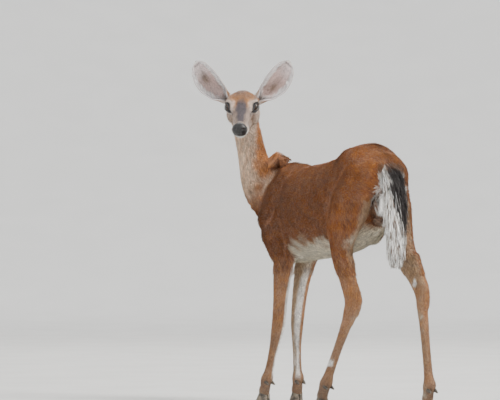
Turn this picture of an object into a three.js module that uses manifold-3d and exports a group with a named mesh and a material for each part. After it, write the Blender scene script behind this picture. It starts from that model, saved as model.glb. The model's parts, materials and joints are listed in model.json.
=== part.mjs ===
// A white-tailed doe as a still, life-size model. She stands mid-step with her head turned back to her
// left, over her own flank.
//
// One distance field describes her outer shape, out to the tips of the summer coat: a smooth union of tubes
// and ellipsoids that stand for bone and muscle. The trunk is a mesh drawn over that field on a grid. Each
// slender part is a loft, whose rings are found by shooting rays from its own axis to the same field, so
// neighbouring parts agree where thin plane cuts divide them. Eyes, ears, hooves and dewclaws are set in.
//
// Millimetres. +X is the way she walks, +Y her left, +Z up, and the floor is z = 0.
import * as THREE from "three";
import { mergeVertices } from "three/addons/utils/BufferGeometryUtils.js";
import Module from "manifold-3d";

const wasm = await Module();
wasm.setup();

// ---------------------------------------------------------------- driving dimensions

const CENTRE = { x: -40, y: 87 }; // middle of her footprint box, which becomes the origin
const GAP = 0.35; // clearance between neighbouring pieces
const SLIVER = 0.06; // faces narrower than this are merged into their neighbours
const BODY_BLEND = 34; // width over which limbs and muscles flow into the trunk
const HEAD_BLEND = 15;
const TRUNK_CELL = 31; // grid spacing of the trunk's mesh
const TRUNK_BOX = { low: [-530, -196, 430], high: [490, 215, 915], margin: 35 }; // margin is above and below
const SIDES = { left: 1, right: -1 };
const HAUNCH_CUT = { at: [-200, 0, 720], normal: [-0.957, 0, -0.29] }; // fold of the flank to point of the hip

// Trunk sections: x, height of the back, height of the belly, half width.
const TRUNK = [
  [-335, 872, 690, 50],
  [-296, 905, 602, 80],
  [-215, 899, 552, 97],
  [-110, 873, 526, 110],
  [0, 853, 514, 119],
  [95, 845, 507, 119],
  [190, 842, 498, 107],
  [270, 838, 504, 88],
  [335, 818, 545, 70],
];

// Legs, hip or shoulder to coronet: x, y, z, half depth, half width. The last station lies in the hoof.
const LEGS = {
  fore_left: [
    [262, 70, 605, 56, 34],
    [214, 64, 528, 55, 31],
    [214, 63, 480, 52, 30],
    [226, 62, 425, 42, 27],
    [238, 60, 360, 33, 24],
    [248, 60, 292, 30, 23],
    [258, 61, 252, 27, 21],
    [280, 64, 184, 19, 15],
    [301, 68, 114, 19, 15],
    [314, 70, 80, 23, 20],
    [327, 72, 46, 19, 20],
    [334, 73, 14, 20, 21],
  ],
  fore_right: [
    [285, -70, 605, 56, 34],
    [262, -64, 528, 54, 31],
    [273, -62, 485, 49, 29],
    [290, -60, 425, 40, 26],
    [303, -58, 360, 33, 24],
    [310, -55, 292, 29, 22],
    [311, -54, 252, 25, 20],
    [311, -54, 184, 19, 15],
    [309, -55, 114, 19, 15],
    [307, -56, 80, 23, 20],
    [315, -57, 46, 19, 20],
    [321, -58, 14, 20, 21],
  ],
  hind_left: [
    [-296, 58, 795, 74, 46],
    [-268, 82, 705, 98, 50],
    [-240, 98, 620, 80, 43],
    [-229, 96, 560, 58, 34],
    [-232, 92, 502, 46, 29],
    [-249, 88, 440, 33, 23],
    [-272, 85, 372, 31, 20],
    [-257, 83, 318, 31, 19],
    [-233, 82, 282, 23, 16.5],
    [-183, 81, 208, 18.5, 14],
    [-128, 81, 122, 19, 15],
    [-106, 82, 82, 24, 20],
    [-86, 83, 48, 19, 20],
    [-78, 84, 14, 20, 21],
  ],
  hind_right: [
    [-304, -58, 795, 72, 44],
    [-286, -79, 705, 86, 45],
    [-294, -91, 628, 74, 38],
    [-322, -93, 560, 58, 31],
    [-362, -92, 500, 46, 26],
    [-414, -89, 440, 33, 22],
    [-448, -84, 392, 27, 18],
    [-462, -81, 340, 24, 16.5],
    [-472, -81, 290, 20, 15.5],
    [-484, -81, 212, 18.5, 14],
    [-498, -81, 124, 19, 15],
    [-504, -81, 86, 24, 20],
    [-494, -81, 48, 19, 20],
    [-489, -81, 14, 20, 21],
  ],
};

// How finely each slender part is drawn: rings along it, rays round each ring, rings in each end's dome, and
// how far the rays reach.
const LOFTS = {
  leg: { rings: 19, rays: 11, domeRings: 0, reach: 125 },
  neck: { rings: 12, rays: 20, domeRings: 3, reach: 190 },
  head: { rings: 15, rays: 20, domeRings: 3, reach: 85 },
  tail: { rings: 11, rays: 10, domeRings: 1, reach: 60 },
};

// Heights of each leg's cuts: from the body, at the knee or hock, and at the fetlock.
const LEG_CUTS = {
  fore_left: [478, 284, 92],
  fore_right: [478, 284, 92],
  hind_left: [516, 322, 96],
  hind_right: [512, 350, 98],
};

const LEG_CUT_BOX = { length: 400, halfSide: 62, halfRise: 130 }; // what a leg's first cut takes from the trunk
const LEG_ROOT = 0.07; // share of a leg's length that its loft starts above the first cut

// Point of hock and the tendon above it: x, y, z, half depth, half width.
const HOCK_TENDONS = [
  [[-270, 92, 500, 15, 12], [-300, 87, 432, 11, 9], [-322, 85, 374, 15, 12], [-294, 84, 332, 13, 12]],
  [[-398, -92, 520, 15, 12], [-447, -87, 462, 11, 9], [-479, -83, 414, 14, 11], [-476, -81, 366, 12, 11]],
];

// Neck, chest to skull: x, y, z, half depth, half width, and the yaw of its side direction as it twists.
const NECK = [
  [235, 0, 715, 118, 66, 0],
  [318, 8, 722, 112, 66, 4],
  [366, 34, 752, 92, 62, 20],
  [379, 62, 800, 72, 57, 45],
  [381, 82, 852, 59, 53, 72],
  [382, 96, 904, 53, 50, 98],
  [383, 108, 955, 49, 50, 120],
  [383, 120, 1004, 46, 49, 138],
  [375, 132, 1052, 43, 45, 143],
];
const NECK_CUT = { at: [355, 32, 772], normal: [0.72, 0.36, 0.6] }; // from the withers to the brisket
const NECK_START = 0.12; // share of its length at which its loft begins

const TAIL = [
  [-340, 0, 838, 19, 22],
  [-384, 0, 812, 21, 27],
  [-410, 2, 756, 20, 34],
  [-427, 7, 686, 19, 36],
  [-440, 13, 615, 17, 30],
  [-451, 19, 555, 12, 20],
  [-459, 24, 508, 7, 10],
];

// The head's own frame: origin midway between the eyeballs, x to the nose, y to her left, z to the crown.
const HEAD = { at: new THREE.Vector3(305, 179, 1054), yaw: 145.6, pitch: 21 };
const HEAD_LINE = { back: [-62, 0, -10], nose: [136, 0, -44] }; // the axis of the head's loft
const HEAD_REACH = 215;
const HEAD_CUT = { at: [-84, 0, -30], normal: [0.84, 0, 0.54] };
const EYE = { at: [6, 43, 1], radius: 17.5, outward: 46, upward: 8 }; // degrees from the nose's direction
// The opening between the lids: a cone from inside the eyeball outwards.
const LIDS = { inner: 11.5, outer: 20, depth: 24, setBack: 4, sides: 12 };
const EAR = {
  base: [-62, 46, -2],
  tip: [-86, 170, 141],
  thick: 5,
  opening: [0.95, 0.12, 0.1], // where the cup faces, before it is squared to the ear's length
  bow: 11, // how far the ear's middle lies outside the straight line
  columns: 6,
  rows: 9,
  // Along the ear: share of its length, half width across the opening, half angle of the cup in degrees.
  shape: [
    [0, 20, 160],
    [0.14, 25, 118],
    [0.3, 38, 80],
    [0.5, 47, 62],
    [0.68, 46, 56],
    [0.84, 37, 52],
    [0.94, 23, 48],
    [1, 9, 42],
  ],
};

// Hooves are pairs of claws: heel and toe along X, full width of one claw, and its heights at the wall.
// Above the floor the toe leans back, the heel forward and the wall inward, each by a share of the height.
const CLAW = {
  heel: -28,
  toe: 35,
  width: 20,
  cleft: 1.5,
  heelHeight: 19,
  toeHeight: 36,
  coronetRun: 30, // from heel to toe along the coronet
  toeLean: 0.72,
  heelLean: 0.12,
  taper: 0.004,
  squareness: 0.8,
  levels: [0, 16, 46],
  corners: 10,
};
const FEET = {
  fore_left: { x: 334, y: 73, yaw: 5 },
  fore_right: { x: 321, y: -58, yaw: -5 },
  hind_left: { x: -78, y: 84, yaw: 3 },
  hind_right: { x: -489, y: -81, yaw: -3 },
};
const DEWCLAW = { height: 66, behind: 24, apart: 13, length: 24, radius: 7.5, lean: 25 };

const COLOURS = { coat: 0xa0562c, throat: 0xc9ab8e, ear: 0xd9c8bb, tail: 0x5a4234, shin: 0xb07c50 };
const DARK = { eye: 0x100b09, hoof: 0x2a2320 };

// ---------------------------------------------------------------- small helpers

const v3 = (x, y, z) => new THREE.Vector3(x, y, z);
const radians = THREE.MathUtils.degToRad;
const mix = THREE.MathUtils.lerp;
const times = (count, make) => Array.from({ length: count }, (_, i) => make(i));
const bothSides = (make) => Object.values(SIDES).map(make);

const headMatrix = new THREE.Matrix4().compose(
  HEAD.at,
  new THREE.Quaternion().setFromEuler(new THREE.Euler(0, radians(HEAD.pitch), radians(HEAD.yaw), "ZYX")),
  v3(1, 1, 1),
);
const headPoint = (x, y, z) => v3(x, y, z).applyMatrix4(headMatrix);
const headDirection = (x, y, z) => v3(x, y, z).transformDirection(headMatrix);

// A value read from rows of [share, ...values] at any share, eased between the rows.
function alongRows(rows, share) {
  const next = Math.max(1, rows.findIndex(([at]) => at >= share));
  const [a, b] = [rows[next - 1], rows[next]];
  const t = THREE.MathUtils.smoothstep(share, a[0], b[0]) * 0.5 + ((share - a[0]) / (b[0] - a[0])) * 0.5;
  return a.slice(1).map((value, i) => mix(value, b[i + 1], t));
}

// ---------------------------------------------------------------- distance fields

// Smooth minimum: two shapes flow into each other over a width of about k.
function blend(a, b, k) {
  const h = Math.max(k - Math.abs(a - b), 0) / k;
  return Math.min(a, b) - h * h * k * 0.25;
}

// Nearly the distance to an ellipsoid, from offsets u, v, w along its axes and its half sizes a, b, c.
function ellipsoidDistance(u, v, w, a, b, c) {
  const scaled = Math.hypot(u / a, v / b, w / c);
  return scaled < 1e-6 ? -Math.min(a, b, c) : Math.hypot(u, v, w) * (1 - 1 / scaled);
}

// A tube with elliptic sections through stations [x, y, z, half depth, half width, yaw]. Half width lies
// along the animal's side direction, +Y turned about the vertical by yaw degrees; half depth is square to it.
class Tube {
  constructor(stations, steps = 6) {
    const curve = (points) => new THREE.CatmullRomCurve3(points, false, "catmullrom", 0.5);
    const path = curve(stations.map(([x, y, z]) => v3(x, y, z)));
    const sizes = curve(stations.map(([, , , depth, width, yaw = 0]) => v3(depth, width, yaw)));
    const count = (stations.length - 1) * steps;
    this.frames = times(count + 1, (i) => Tube.frame(path, sizes, i / count));
    const box = new THREE.Box3().setFromPoints(this.frames.map((f) => f.at));
    const thickest = Math.max(...this.frames.map((f) => Math.max(f.depth, f.width)));
    this.centre = box.getCenter(v3());
    this.radius = box.getSize(v3()).length() / 2 + thickest;
  }

  static frame(path, sizes, t) {
    const size = sizes.getPoint(t);
    const axis = path.getTangent(t);
    const side = v3(-Math.sin(radians(size.z)), Math.cos(radians(size.z)), 0);
    side.addScaledVector(axis, -side.dot(axis)).normalize();
    const rise = axis.clone().cross(side);
    return { at: path.getPoint(t), axis, side, rise, depth: size.x, width: size.y };
  }

  // The stretch of the middle line nearest a point, the share along it, and how far past its ends.
  nearest(p) {
    const near = { square: Infinity };
    for (let i = 0; i + 1 < this.frames.length; i++) {
      const a = this.frames[i].at;
      const b = this.frames[i + 1].at;
      const [dx, dy, dz] = [b.x - a.x, b.y - a.y, b.z - a.z];
      const [px, py, pz] = [p.x - a.x, p.y - a.y, p.z - a.z];
      const along = (px * dx + py * dy + pz * dz) / (dx * dx + dy * dy + dz * dz);
      const share = Math.min(1, Math.max(0, along));
      const square = (px - share * dx) ** 2 + (py - share * dy) ** 2 + (pz - share * dz) ** 2;
      if (square < near.square) Object.assign(near, { square, i, share, past: along - share });
    }
    return near;
  }

  distance(p) {
    const near = this.nearest(p);
    const [f, g] = [this.frames[near.i], this.frames[near.i + 1]];
    const offset = p.clone().sub(f.at.clone().lerp(g.at, near.share));
    const between = (name) => mix(offset.dot(f[name]), offset.dot(g[name]), near.share);
    const depth = mix(f.depth, g.depth, near.share);
    const width = mix(f.width, g.width, near.share);
    const overshoot = near.past === 0 ? 0 : between("axis");
    return ellipsoidDistance(between("rise"), between("side"), overshoot, depth, width, Math.min(depth, width));
  }
}

// An ellipsoid with half sizes along X, Y and Z, its front tipped down about Y by pitch degrees.
class Ellipsoid {
  constructor(centre, half, pitch = 0) {
    this.centre = v3(...centre);
    this.half = half;
    this.turn = new THREE.Quaternion().setFromAxisAngle(v3(0, 1, 0), -radians(pitch));
    this.radius = Math.max(...half);
  }

  distance(p) {
    const q = p.clone().sub(this.centre).applyQuaternion(this.turn);
    return ellipsoidDistance(q.x, q.y, q.z, ...this.half);
  }
}

// The smooth union of several shapes, passing over those too far away to matter.
class Union {
  constructor(shapes, softness) {
    this.shapes = shapes;
    this.softness = softness;
  }

  distance(p) {
    let d = 1e3;
    for (const shape of this.shapes) {
      if (p.distanceTo(shape.centre) - shape.radius > d + this.softness) continue;
      d = blend(d, shape.distance(p), this.softness);
    }
    return d;
  }
}

// A field written in the head's frame, set in the animal's.
class OnHead {
  constructor(field, radius) {
    this.field = field;
    this.inverse = headMatrix.clone().invert();
    this.centre = HEAD.at;
    this.radius = radius;
  }

  distance(p) {
    return this.field.distance(p.clone().applyMatrix4(this.inverse));
  }
}

// ---------------------------------------------------------------- the animal as a field

function trunkTube() {
  return new Tube(TRUNK.map(([x, top, bottom, width]) => [x, 0, (top + bottom) / 2, (top - bottom) / 2, width]));
}

function shoulder(s) {
  return [
    new Tube([[222, 44 * s, 808, 40, 20], [268, 64 * s, 732, 54, 26], [300, 72 * s, 655, 44, 30]]),
    new Tube([[298, 72 * s, 655, 44, 30], [262, 70 * s, 596, 50, 31], [236, 65 * s, 545, 44, 29]]),
    new Ellipsoid([196, 70 * s, 622], [60, 30, 78], -14),
  ];
}

function hip(s) {
  return [
    new Ellipsoid([-345, 42 * s, 800], [40, 30, 62], 14),
    new Tube([[-200, 46 * s, 842, 42, 40], [-275, 49 * s, 846, 43, 40], [-345, 45 * s, 806, 46, 36]]),
    new Ellipsoid([-150, 76 * s, 645], [78, 32, 86], 24),
  ];
}

// Crest of the neck down to the withers, the croup, and the brisket between the forelegs.
function middleOfTrunk() {
  return [
    new Tube([[-150, 0, 842, 34, 60], [-230, 0, 856, 42, 70], [-290, 0, 856, 42, 60], [-335, 0, 838, 36, 40]]),
    new Tube([[170, 0, 804, 38, 26], [255, 3, 801, 53, 30], [326, 24, 800, 60, 38]]),
    new Ellipsoid([328, 0, 622], [56, 50, 78]),
  ];
}

function cheekAndBrow(s) {
  return [
    new Ellipsoid([2, 41 * s, 1], [28, 21, 22]),
    new Tube([[-34, 33 * s, 24, 13, 14], [0, 42 * s, 19, 10, 12], [30, 28 * s, 2, 12, 12]]),
    new Ellipsoid([-38, 41 * s, -34], [44, 19, 38], 6),
    new Tube([[-58, 26 * s, -54, 17, 14], [10, 20 * s, -63, 14, 13], [88, 10 * s, -67, 11, 12]]),
    new Tube([[-56, 30 * s, 0, 24, 24], [-64, 42 * s, 3, 20, 20]]),
  ];
}

function headField() {
  const skull = new Ellipsoid([-48, 0, 2], [60, 45, 40]);
  const face = new Tube([
    [-62, 0, -12, 46, 42],
    [-20, 0, -10, 50, 43],
    [22, 0, -20, 43, 36],
    [62, 0, -29, 34, 28],
    [104, 0, -37, 27, 25.5],
    [132, 0, -42, 23, 24],
  ]);
  const nose = new Ellipsoid([139, 0, -35], [18, 22.5, 17]);
  const lips = new Ellipsoid([122, 0, -50], [27, 25.5, 16]);
  const chin = new Ellipsoid([106, 0, -66], [24, 17, 12]);
  return new Union([skull, face, nose, lips, chin, ...bothSides(cheekAndBrow).flat()], HEAD_BLEND);
}

const legTubes = Object.fromEntries(Object.entries(LEGS).map(([leg, stations]) => [leg, new Tube(stations)]));
const neckTube = new Tube(NECK);
const tailTube = new Tube(TAIL);
const body = new Union(
  [
    trunkTube(),
    ...bothSides(shoulder).flat(),
    ...bothSides(hip).flat(),
    ...middleOfTrunk(),
    ...Object.values(legTubes),
    ...HOCK_TENDONS.map((stations) => new Tube(stations)),
    neckTube,
    new OnHead(headField(), HEAD_REACH),
  ],
  BODY_BLEND,
);

// ---------------------------------------------------------------- making solids

// A solid inside a closed surface, its faces turned to point out.
function solidOf(geometry) {
  const bare = geometry.clone();
  bare.deleteAttribute("normal");
  bare.deleteAttribute("uv");
  const merged = mergeVertices(bare, 1e-3);
  const make = (triVerts) =>
    new wasm.Manifold(new wasm.Mesh({ numProp: 3, vertProperties: merged.attributes.position.array, triVerts }));
  const made = make(new Uint32Array(merged.index.array));
  return made.volume() > 0 ? made : make(new Uint32Array(merged.index.array).reverse());
}

function solidFrom(points, triangles) {
  const geometry = new THREE.BufferGeometry().setFromPoints(points);
  geometry.setIndex(triangles);
  return solidOf(geometry);
}

// A closed surface over rings of equally many points, with one pole point at each end.
function skinOver(rings, startPole, endPole) {
  const around = rings[0].length;
  const corner = (i, j) => 1 + i * around + (j % around);
  const end = 1 + rings.length * around;
  const triangles = [];
  for (let j = 0; j < around; j++) {
    triangles.push(0, corner(0, j + 1), corner(0, j));
    triangles.push(end, corner(rings.length - 1, j), corner(rings.length - 1, j + 1));
    for (let i = 0; i + 1 < rings.length; i++) {
      triangles.push(corner(i, j), corner(i, j + 1), corner(i + 1, j));
      triangles.push(corner(i, j + 1), corner(i + 1, j + 1), corner(i + 1, j));
    }
  }
  return solidFrom([startPole, ...rings.flat(), endPole], triangles);
}

// The point where a ray leaves the field's shape, which is taken as grown outwards by a clearance.
function exitPoint(field, from, direction, reach, grow) {
  const along = (r) => from.clone().addScaledVector(direction, r);
  const inside = (r) => field.distance(along(r)) < grow;
  let near = 0;
  let far = 7;
  while (far < reach && inside(far)) [near, far] = [far, far + 7];
  for (let i = 0; i < 12; i++) {
    const middle = (near + far) / 2;
    if (inside(middle)) near = middle;
    else far = middle;
  }
  return along(Math.max(near, 0.5));
}

// Evenly spaced frames along a tube, between two shares of its length.
function framesAlong(tube, count, from = 0, to = 1) {
  const last = tube.frames.length - 1;
  return times(count, (i) => {
    const place = mix(from, to, i / (count - 1)) * last;
    const low = Math.min(Math.floor(place), last - 1);
    const [a, b] = [tube.frames[low], tube.frames[low + 1]];
    const turned = (name) => a[name].clone().lerp(b[name], place - low).normalize();
    return { at: a.at.clone().lerp(b.at, place - low), axis: turned("axis"), side: turned("side") };
  });
}

// A loft over frames. Each ring's rays are square to the axis, and both ends close with a dome of tilted rings.
function loft(field, frames, { rays, domeRings = 3, reach = 330, grow = 0 }) {
  const dome = (frame, from, to) =>
    times(domeRings, (i) => ({ ...frame, tilt: mix(from, to, (i + 1) / (domeRings + 1)) }));
  const [first, last] = [frames[0], frames.at(-1)];
  const stack = [...dome(first, -90, 0), ...frames.map((f) => ({ ...f, tilt: 0 })), ...dome(last, 0, 90)];
  const rings = stack.map(({ at, axis, side, tilt }) => {
    const rise = axis.clone().cross(side);
    const flat = Math.cos(radians(tilt));
    return times(rays, (j) => {
      const angle = (2 * Math.PI * j) / rays;
      const direction = axis.clone().multiplyScalar(Math.sin(radians(tilt)));
      direction.addScaledVector(side, Math.cos(angle) * flat).addScaledVector(rise, Math.sin(angle) * flat);
      return exitPoint(field, at, direction.normalize(), reach, grow);
    });
  });
  const poles = [exitPoint(field, first.at, first.axis.clone().negate(), reach, grow)];
  poles.push(exitPoint(field, last.at, last.axis, reach, grow));
  return skinOver(rings, ...poles);
}

// A box whose near face is square to an axis at a point, reaching away along that axis.
function boxFrom({ at, axis, side }, { length = 900, halfSide = 700, halfRise = 700, setBack = 0 }) {
  const rise = axis.clone().cross(side).normalize();
  const matrix = new THREE.Matrix4().makeBasis(axis, rise.clone().cross(axis), rise);
  matrix.setPosition(at.clone().addScaledVector(axis, length / 2 + setBack));
  return solidOf(new THREE.BoxGeometry(length, 2 * halfSide, 2 * halfRise).applyMatrix4(matrix));
}

// What lies beyond a cut and what lies before it, each set back by half the gap.
const beyond = (solid, cut, size = {}) => solid.intersect(boxFrom(cut, { ...size, setBack: GAP / 2 }));
const before = (solid, cut, size = {}) => solid.subtract(boxFrom(cut, { ...size, setBack: -GAP / 2 }));

// ---------------------------------------------------------------- the grid mesh of the trunk

// Values of a field at the corners of a grid over a box.
class Grid {
  constructor(field, box, cell) {
    this.cell = cell;
    this.low = box.min;
    const size = box.getSize(v3());
    this.count = [size.x, size.y, size.z].map((length) => Math.ceil(length / cell) + 1);
    const [nx, ny, nz] = this.count;
    this.values = new Float64Array(nx * ny * nz);
    this.visit(([i, j, k], n) => (this.values[n] = field.distance(this.point(i, j, k))));
  }

  point(i, j, k) {
    return v3(i, j, k).multiplyScalar(this.cell).add(this.low);
  }

  number(i, j, k) {
    return (k * this.count[1] + j) * this.count[0] + i;
  }

  visit(use) {
    const [nx, ny, nz] = this.count;
    for (let k = 0; k < nz; k++)
      for (let j = 0; j < ny; j++) for (let i = 0; i < nx; i++) use([i, j, k], this.number(i, j, k));
  }

  // The mean of the places where the surface crosses the edges of one cell, or null where it doesn't.
  crossing(i, j, k) {
    const corners = times(8, (n) => [i + (n & 1), j + ((n >> 1) & 1), k + (n >> 2)]);
    const values = corners.map((c) => this.values[this.number(...c)]);
    const sum = v3(0, 0, 0);
    let found = 0;
    for (let a = 0; a < 8; a++)
      for (const b of [a | 1, a | 2, a | 4])
        if (b !== a && values[a] < 0 !== values[b] < 0) {
          const share = values[a] / (values[a] - values[b]);
          sum.add(this.point(...corners[a]).lerp(this.point(...corners[b]), share));
          found++;
        }
    return found ? sum.divideScalar(found) : null;
  }
}

// Moves a point onto the field's surface by a few steps down its slope.
function settle(field, p) {
  const h = 2;
  for (let step = 0; step < 4; step++) {
    const d = field.distance(p);
    const slope = ["x", "y", "z"].map((axis) => {
      const q = p.clone();
      q[axis] += h;
      return (field.distance(q) - d) / h;
    });
    const g = v3(...slope);
    p.addScaledVector(g, -d / Math.max(g.lengthSq(), 0.25));
  }
  return p;
}

// A closed mesh over a field: one point in each crossed cell, and a quad across each crossed grid edge.
function gridMesh(field, box, cell) {
  const grid = new Grid(field, box, cell);
  const index = new Map();
  const points = [];
  grid.visit(([i, j, k], n) => {
    if ([i, j, k].some((at, axis) => at + 1 >= grid.count[axis])) return;
    const p = grid.crossing(i, j, k);
    if (p) index.set(n, points.push(settle(field, p)) - 1);
  });
  const triangles = [];
  grid.visit((at, n) => {
    for (let axis = 0; axis < 3; axis++) {
      const next = at.map((value, i) => value + (i === axis));
      if (next[axis] >= grid.count[axis]) continue;
      const inside = grid.values[n] < 0;
      if (inside === grid.values[grid.number(...next)] < 0) continue;
      const [u, w] = [(axis + 1) % 3, (axis + 2) % 3];
      const around = [[0, 0], [1, 0], [1, 1], [0, 1]].map(([a, b]) => {
        const cellAt = at.map((value, i) => value - (i === u ? a : 0) - (i === w ? b : 0));
        return index.get(grid.number(...cellAt));
      });
      triangles.push(...splitQuad(points, inside ? around : around.reverse()));
    }
  });
  return solidFrom(points, triangles);
}

// A quad as two triangles, split along its shorter diagonal.
function splitQuad(points, [a, b, c, d]) {
  const shorter = points[a].distanceTo(points[c]) < points[b].distanceTo(points[d]);
  return shorter ? [a, b, c, a, c, d] : [b, c, d, b, d, a];
}

// ---------------------------------------------------------------- cuts

const frameAtHeight = (tube, z) =>
  tube.frames.reduce((a, b) => (Math.abs(b.at.z - z) < Math.abs(a.at.z - z) ? b : a));

const planeCut = ({ at, normal }) => ({ at: v3(...at), axis: v3(...normal).normalize(), side: v3(0, 1, 0) });
const neckCut = planeCut(NECK_CUT);
const headCut = {
  at: headPoint(...HEAD_CUT.at),
  axis: headDirection(...HEAD_CUT.normal),
  side: headDirection(0, 1, 0),
};
const haunchCut = planeCut(HAUNCH_CUT);

// ---------------------------------------------------------------- the parts

const deer = new THREE.Group();
deer.position.set(-CENTRE.x, -CENTRE.y, 0);

function addNode(name, solid, colour, roughness = 0.85) {
  const { vertProperties, triVerts } = solid.setTolerance(SLIVER).getMesh();
  const geometry = new THREE.BufferGeometry();
  geometry.setAttribute("position", new THREE.BufferAttribute(new Float32Array(vertProperties), 3));
  geometry.setIndex(new THREE.BufferAttribute(new Uint32Array(triVerts), 1));
  geometry.computeVertexNormals();
  const node = new THREE.Mesh(geometry, new THREE.MeshStandardMaterial({ color: colour, roughness, metalness: 0 }));
  node.name = name;
  deer.add(node);
}

// The trunk with the tops of the legs, cut away below the legs' first cuts and beyond the neck's.
function wholeTrunk() {
  const box = new THREE.Box3(v3(...TRUNK_BOX.low), v3(...TRUNK_BOX.high));
  const [floor, ceiling] = [box.min.z, box.max.z];
  const capped = { distance: (p) => Math.max(body.distance(p), floor - p.z, p.z - ceiling) };
  box.expandByVector(v3(0, 0, TRUNK_BOX.margin));
  let trunk = before(gridMesh(capped, box, TRUNK_CELL), neckCut);
  for (const [leg, tube] of Object.entries(legTubes)) {
    trunk = before(trunk, frameAtHeight(tube, LEG_CUTS[leg][0]), LEG_CUT_BOX);
  }
  return trunk;
}

function addTrunkAndTail() {
  const trunk = wholeTrunk();
  addNode("trunk", before(trunk, haunchCut), COLOURS.coat);
  const tailFrames = framesAlong(tailTube, LOFTS.tail.rings);
  const tailLoft = (grow) => loft(tailTube, tailFrames, { ...LOFTS.tail, grow });
  const haunches = beyond(trunk, haunchCut).subtract(tailLoft(GAP));
  for (const [name, side] of Object.entries(SIDES)) {
    const middle = { at: v3(0, 0, 0), axis: v3(0, side, 0), side: v3(1, 0, 0) };
    addNode(`haunch_${name}`, beyond(haunches, middle, { halfRise: 1500 }), COLOURS.coat);
  }
  addNode("tail", tailLoft(0), COLOURS.tail);
}

function addNeck() {
  const neck = loft(body, framesAlong(neckTube, LOFTS.neck.rings, NECK_START), LOFTS.neck);
  addNode("neck", before(beyond(neck, neckCut), headCut), COLOURS.throat);
}

function eyeball(side, radius) {
  const ball = new THREE.IcosahedronGeometry(radius, 2);
  ball.translate(EYE.at[0], EYE.at[1] * side, EYE.at[2]);
  return solidOf(ball.applyMatrix4(headMatrix));
}

function lidOpening(side) {
  const direction = new THREE.Euler(0, -radians(EYE.upward), radians(EYE.outward * side), "ZYX");
  const cone = new THREE.CylinderGeometry(LIDS.outer, LIDS.inner, LIDS.depth, LIDS.sides).rotateZ(-Math.PI / 2);
  cone.translate(EYE.radius - LIDS.setBack + LIDS.depth / 2, 0, 0);
  cone.applyMatrix4(new THREE.Matrix4().makeRotationFromEuler(direction));
  cone.translate(EYE.at[0], EYE.at[1] * side, EYE.at[2]);
  return solidOf(cone.applyMatrix4(headMatrix));
}

// One ear's thick cup: rings run along its back and return along its hollow, which starts above the root.
function ear(side) {
  const place = ([x, y, z]) => headPoint(x, y * side, z);
  const [base, tip] = [place(EAR.base), place(EAR.tip)];
  const axis = tip.clone().sub(base).normalize();
  const [ox, oy, oz] = EAR.opening;
  const facing = headDirection(ox, oy * side, oz);
  facing.addScaledVector(axis, -facing.dot(axis)).normalize();
  const across = axis.clone().cross(facing);
  const arcPoint = (centre, radius, angle) =>
    centre
      .clone()
      .addScaledVector(across, radius * Math.sin(angle))
      .addScaledVector(facing, -radius * Math.cos(angle));
  const rings = times(EAR.rows, (i) => {
    const share = i / (EAR.rows - 1);
    const [halfWidth, cup] = alongRows(EAR.shape, share);
    const angle = radians(cup);
    const outer = cup < 90 ? halfWidth / Math.sin(angle) : halfWidth;
    const hollow = THREE.MathUtils.smoothstep(share, 0.02, 0.26);
    const inner = mix(outer * 0.12, outer - EAR.thick, hollow);
    const centre = base.clone().lerp(tip, share);
    centre.addScaledVector(facing, outer * 0.5 * (1 + Math.cos(angle)));
    centre.addScaledVector(across, side * EAR.bow * Math.sin(Math.PI * share));
    const arc = times(EAR.columns + 1, (j) => mix(-angle, angle, j / EAR.columns));
    return [
      ...arc.map((a) => arcPoint(centre, outer, a)),
      ...arc.reverse().map((a) => arcPoint(centre, inner, a)),
    ];
  });
  const middle = (ring) => ring.reduce((sum, p) => sum.add(p), v3(0, 0, 0)).divideScalar(ring.length);
  return skinOver(rings, middle(rings[0]), middle(rings.at(-1)));
}

function addHead() {
  const [back, nose] = [headPoint(...HEAD_LINE.back), headPoint(...HEAD_LINE.nose)];
  const [axis, across] = [headDirection(1, 0, 0), headDirection(0, 1, 0)];
  const { rings } = LOFTS.head;
  const frames = times(rings, (i) => ({ at: back.clone().lerp(nose, i / (rings - 1)), axis, side: across }));
  const shape = (grow) => loft(body, frames, { ...LOFTS.head, grow });
  let head = beyond(shape(0), headCut);
  const grown = shape(GAP);
  for (const [name, side] of Object.entries(SIDES)) {
    head = head.subtract(eyeball(side, EYE.radius + 2 * GAP)).subtract(lidOpening(side));
    addNode(`eye_${name}`, eyeball(side, EYE.radius), DARK.eye, 0.1);
    addNode(`ear_${name}`, ear(side).subtract(grown), COLOURS.ear);
  }
  addNode("head", head, COLOURS.coat);
}

// The two claws' shared frame on the floor.
function footMatrix({ x, y, yaw }) {
  return new THREE.Matrix4().makeRotationZ(radians(yaw)).setPosition(x, y, 0);
}

// The sloping plane where the hair of the foot ends and the horn begins.
function coronet(leg) {
  const slope = Math.atan2(CLAW.toeHeight - CLAW.heelHeight, CLAW.coronetRun);
  const axis = v3(-Math.sin(slope), 0, Math.cos(slope)).negate();
  const at = v3(-22, 0, CLAW.heelHeight).applyMatrix4(footMatrix(FEET[leg]));
  return { at, axis: axis.transformDirection(footMatrix(FEET[leg])), side: v3(0, 1, 0) };
}

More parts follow.
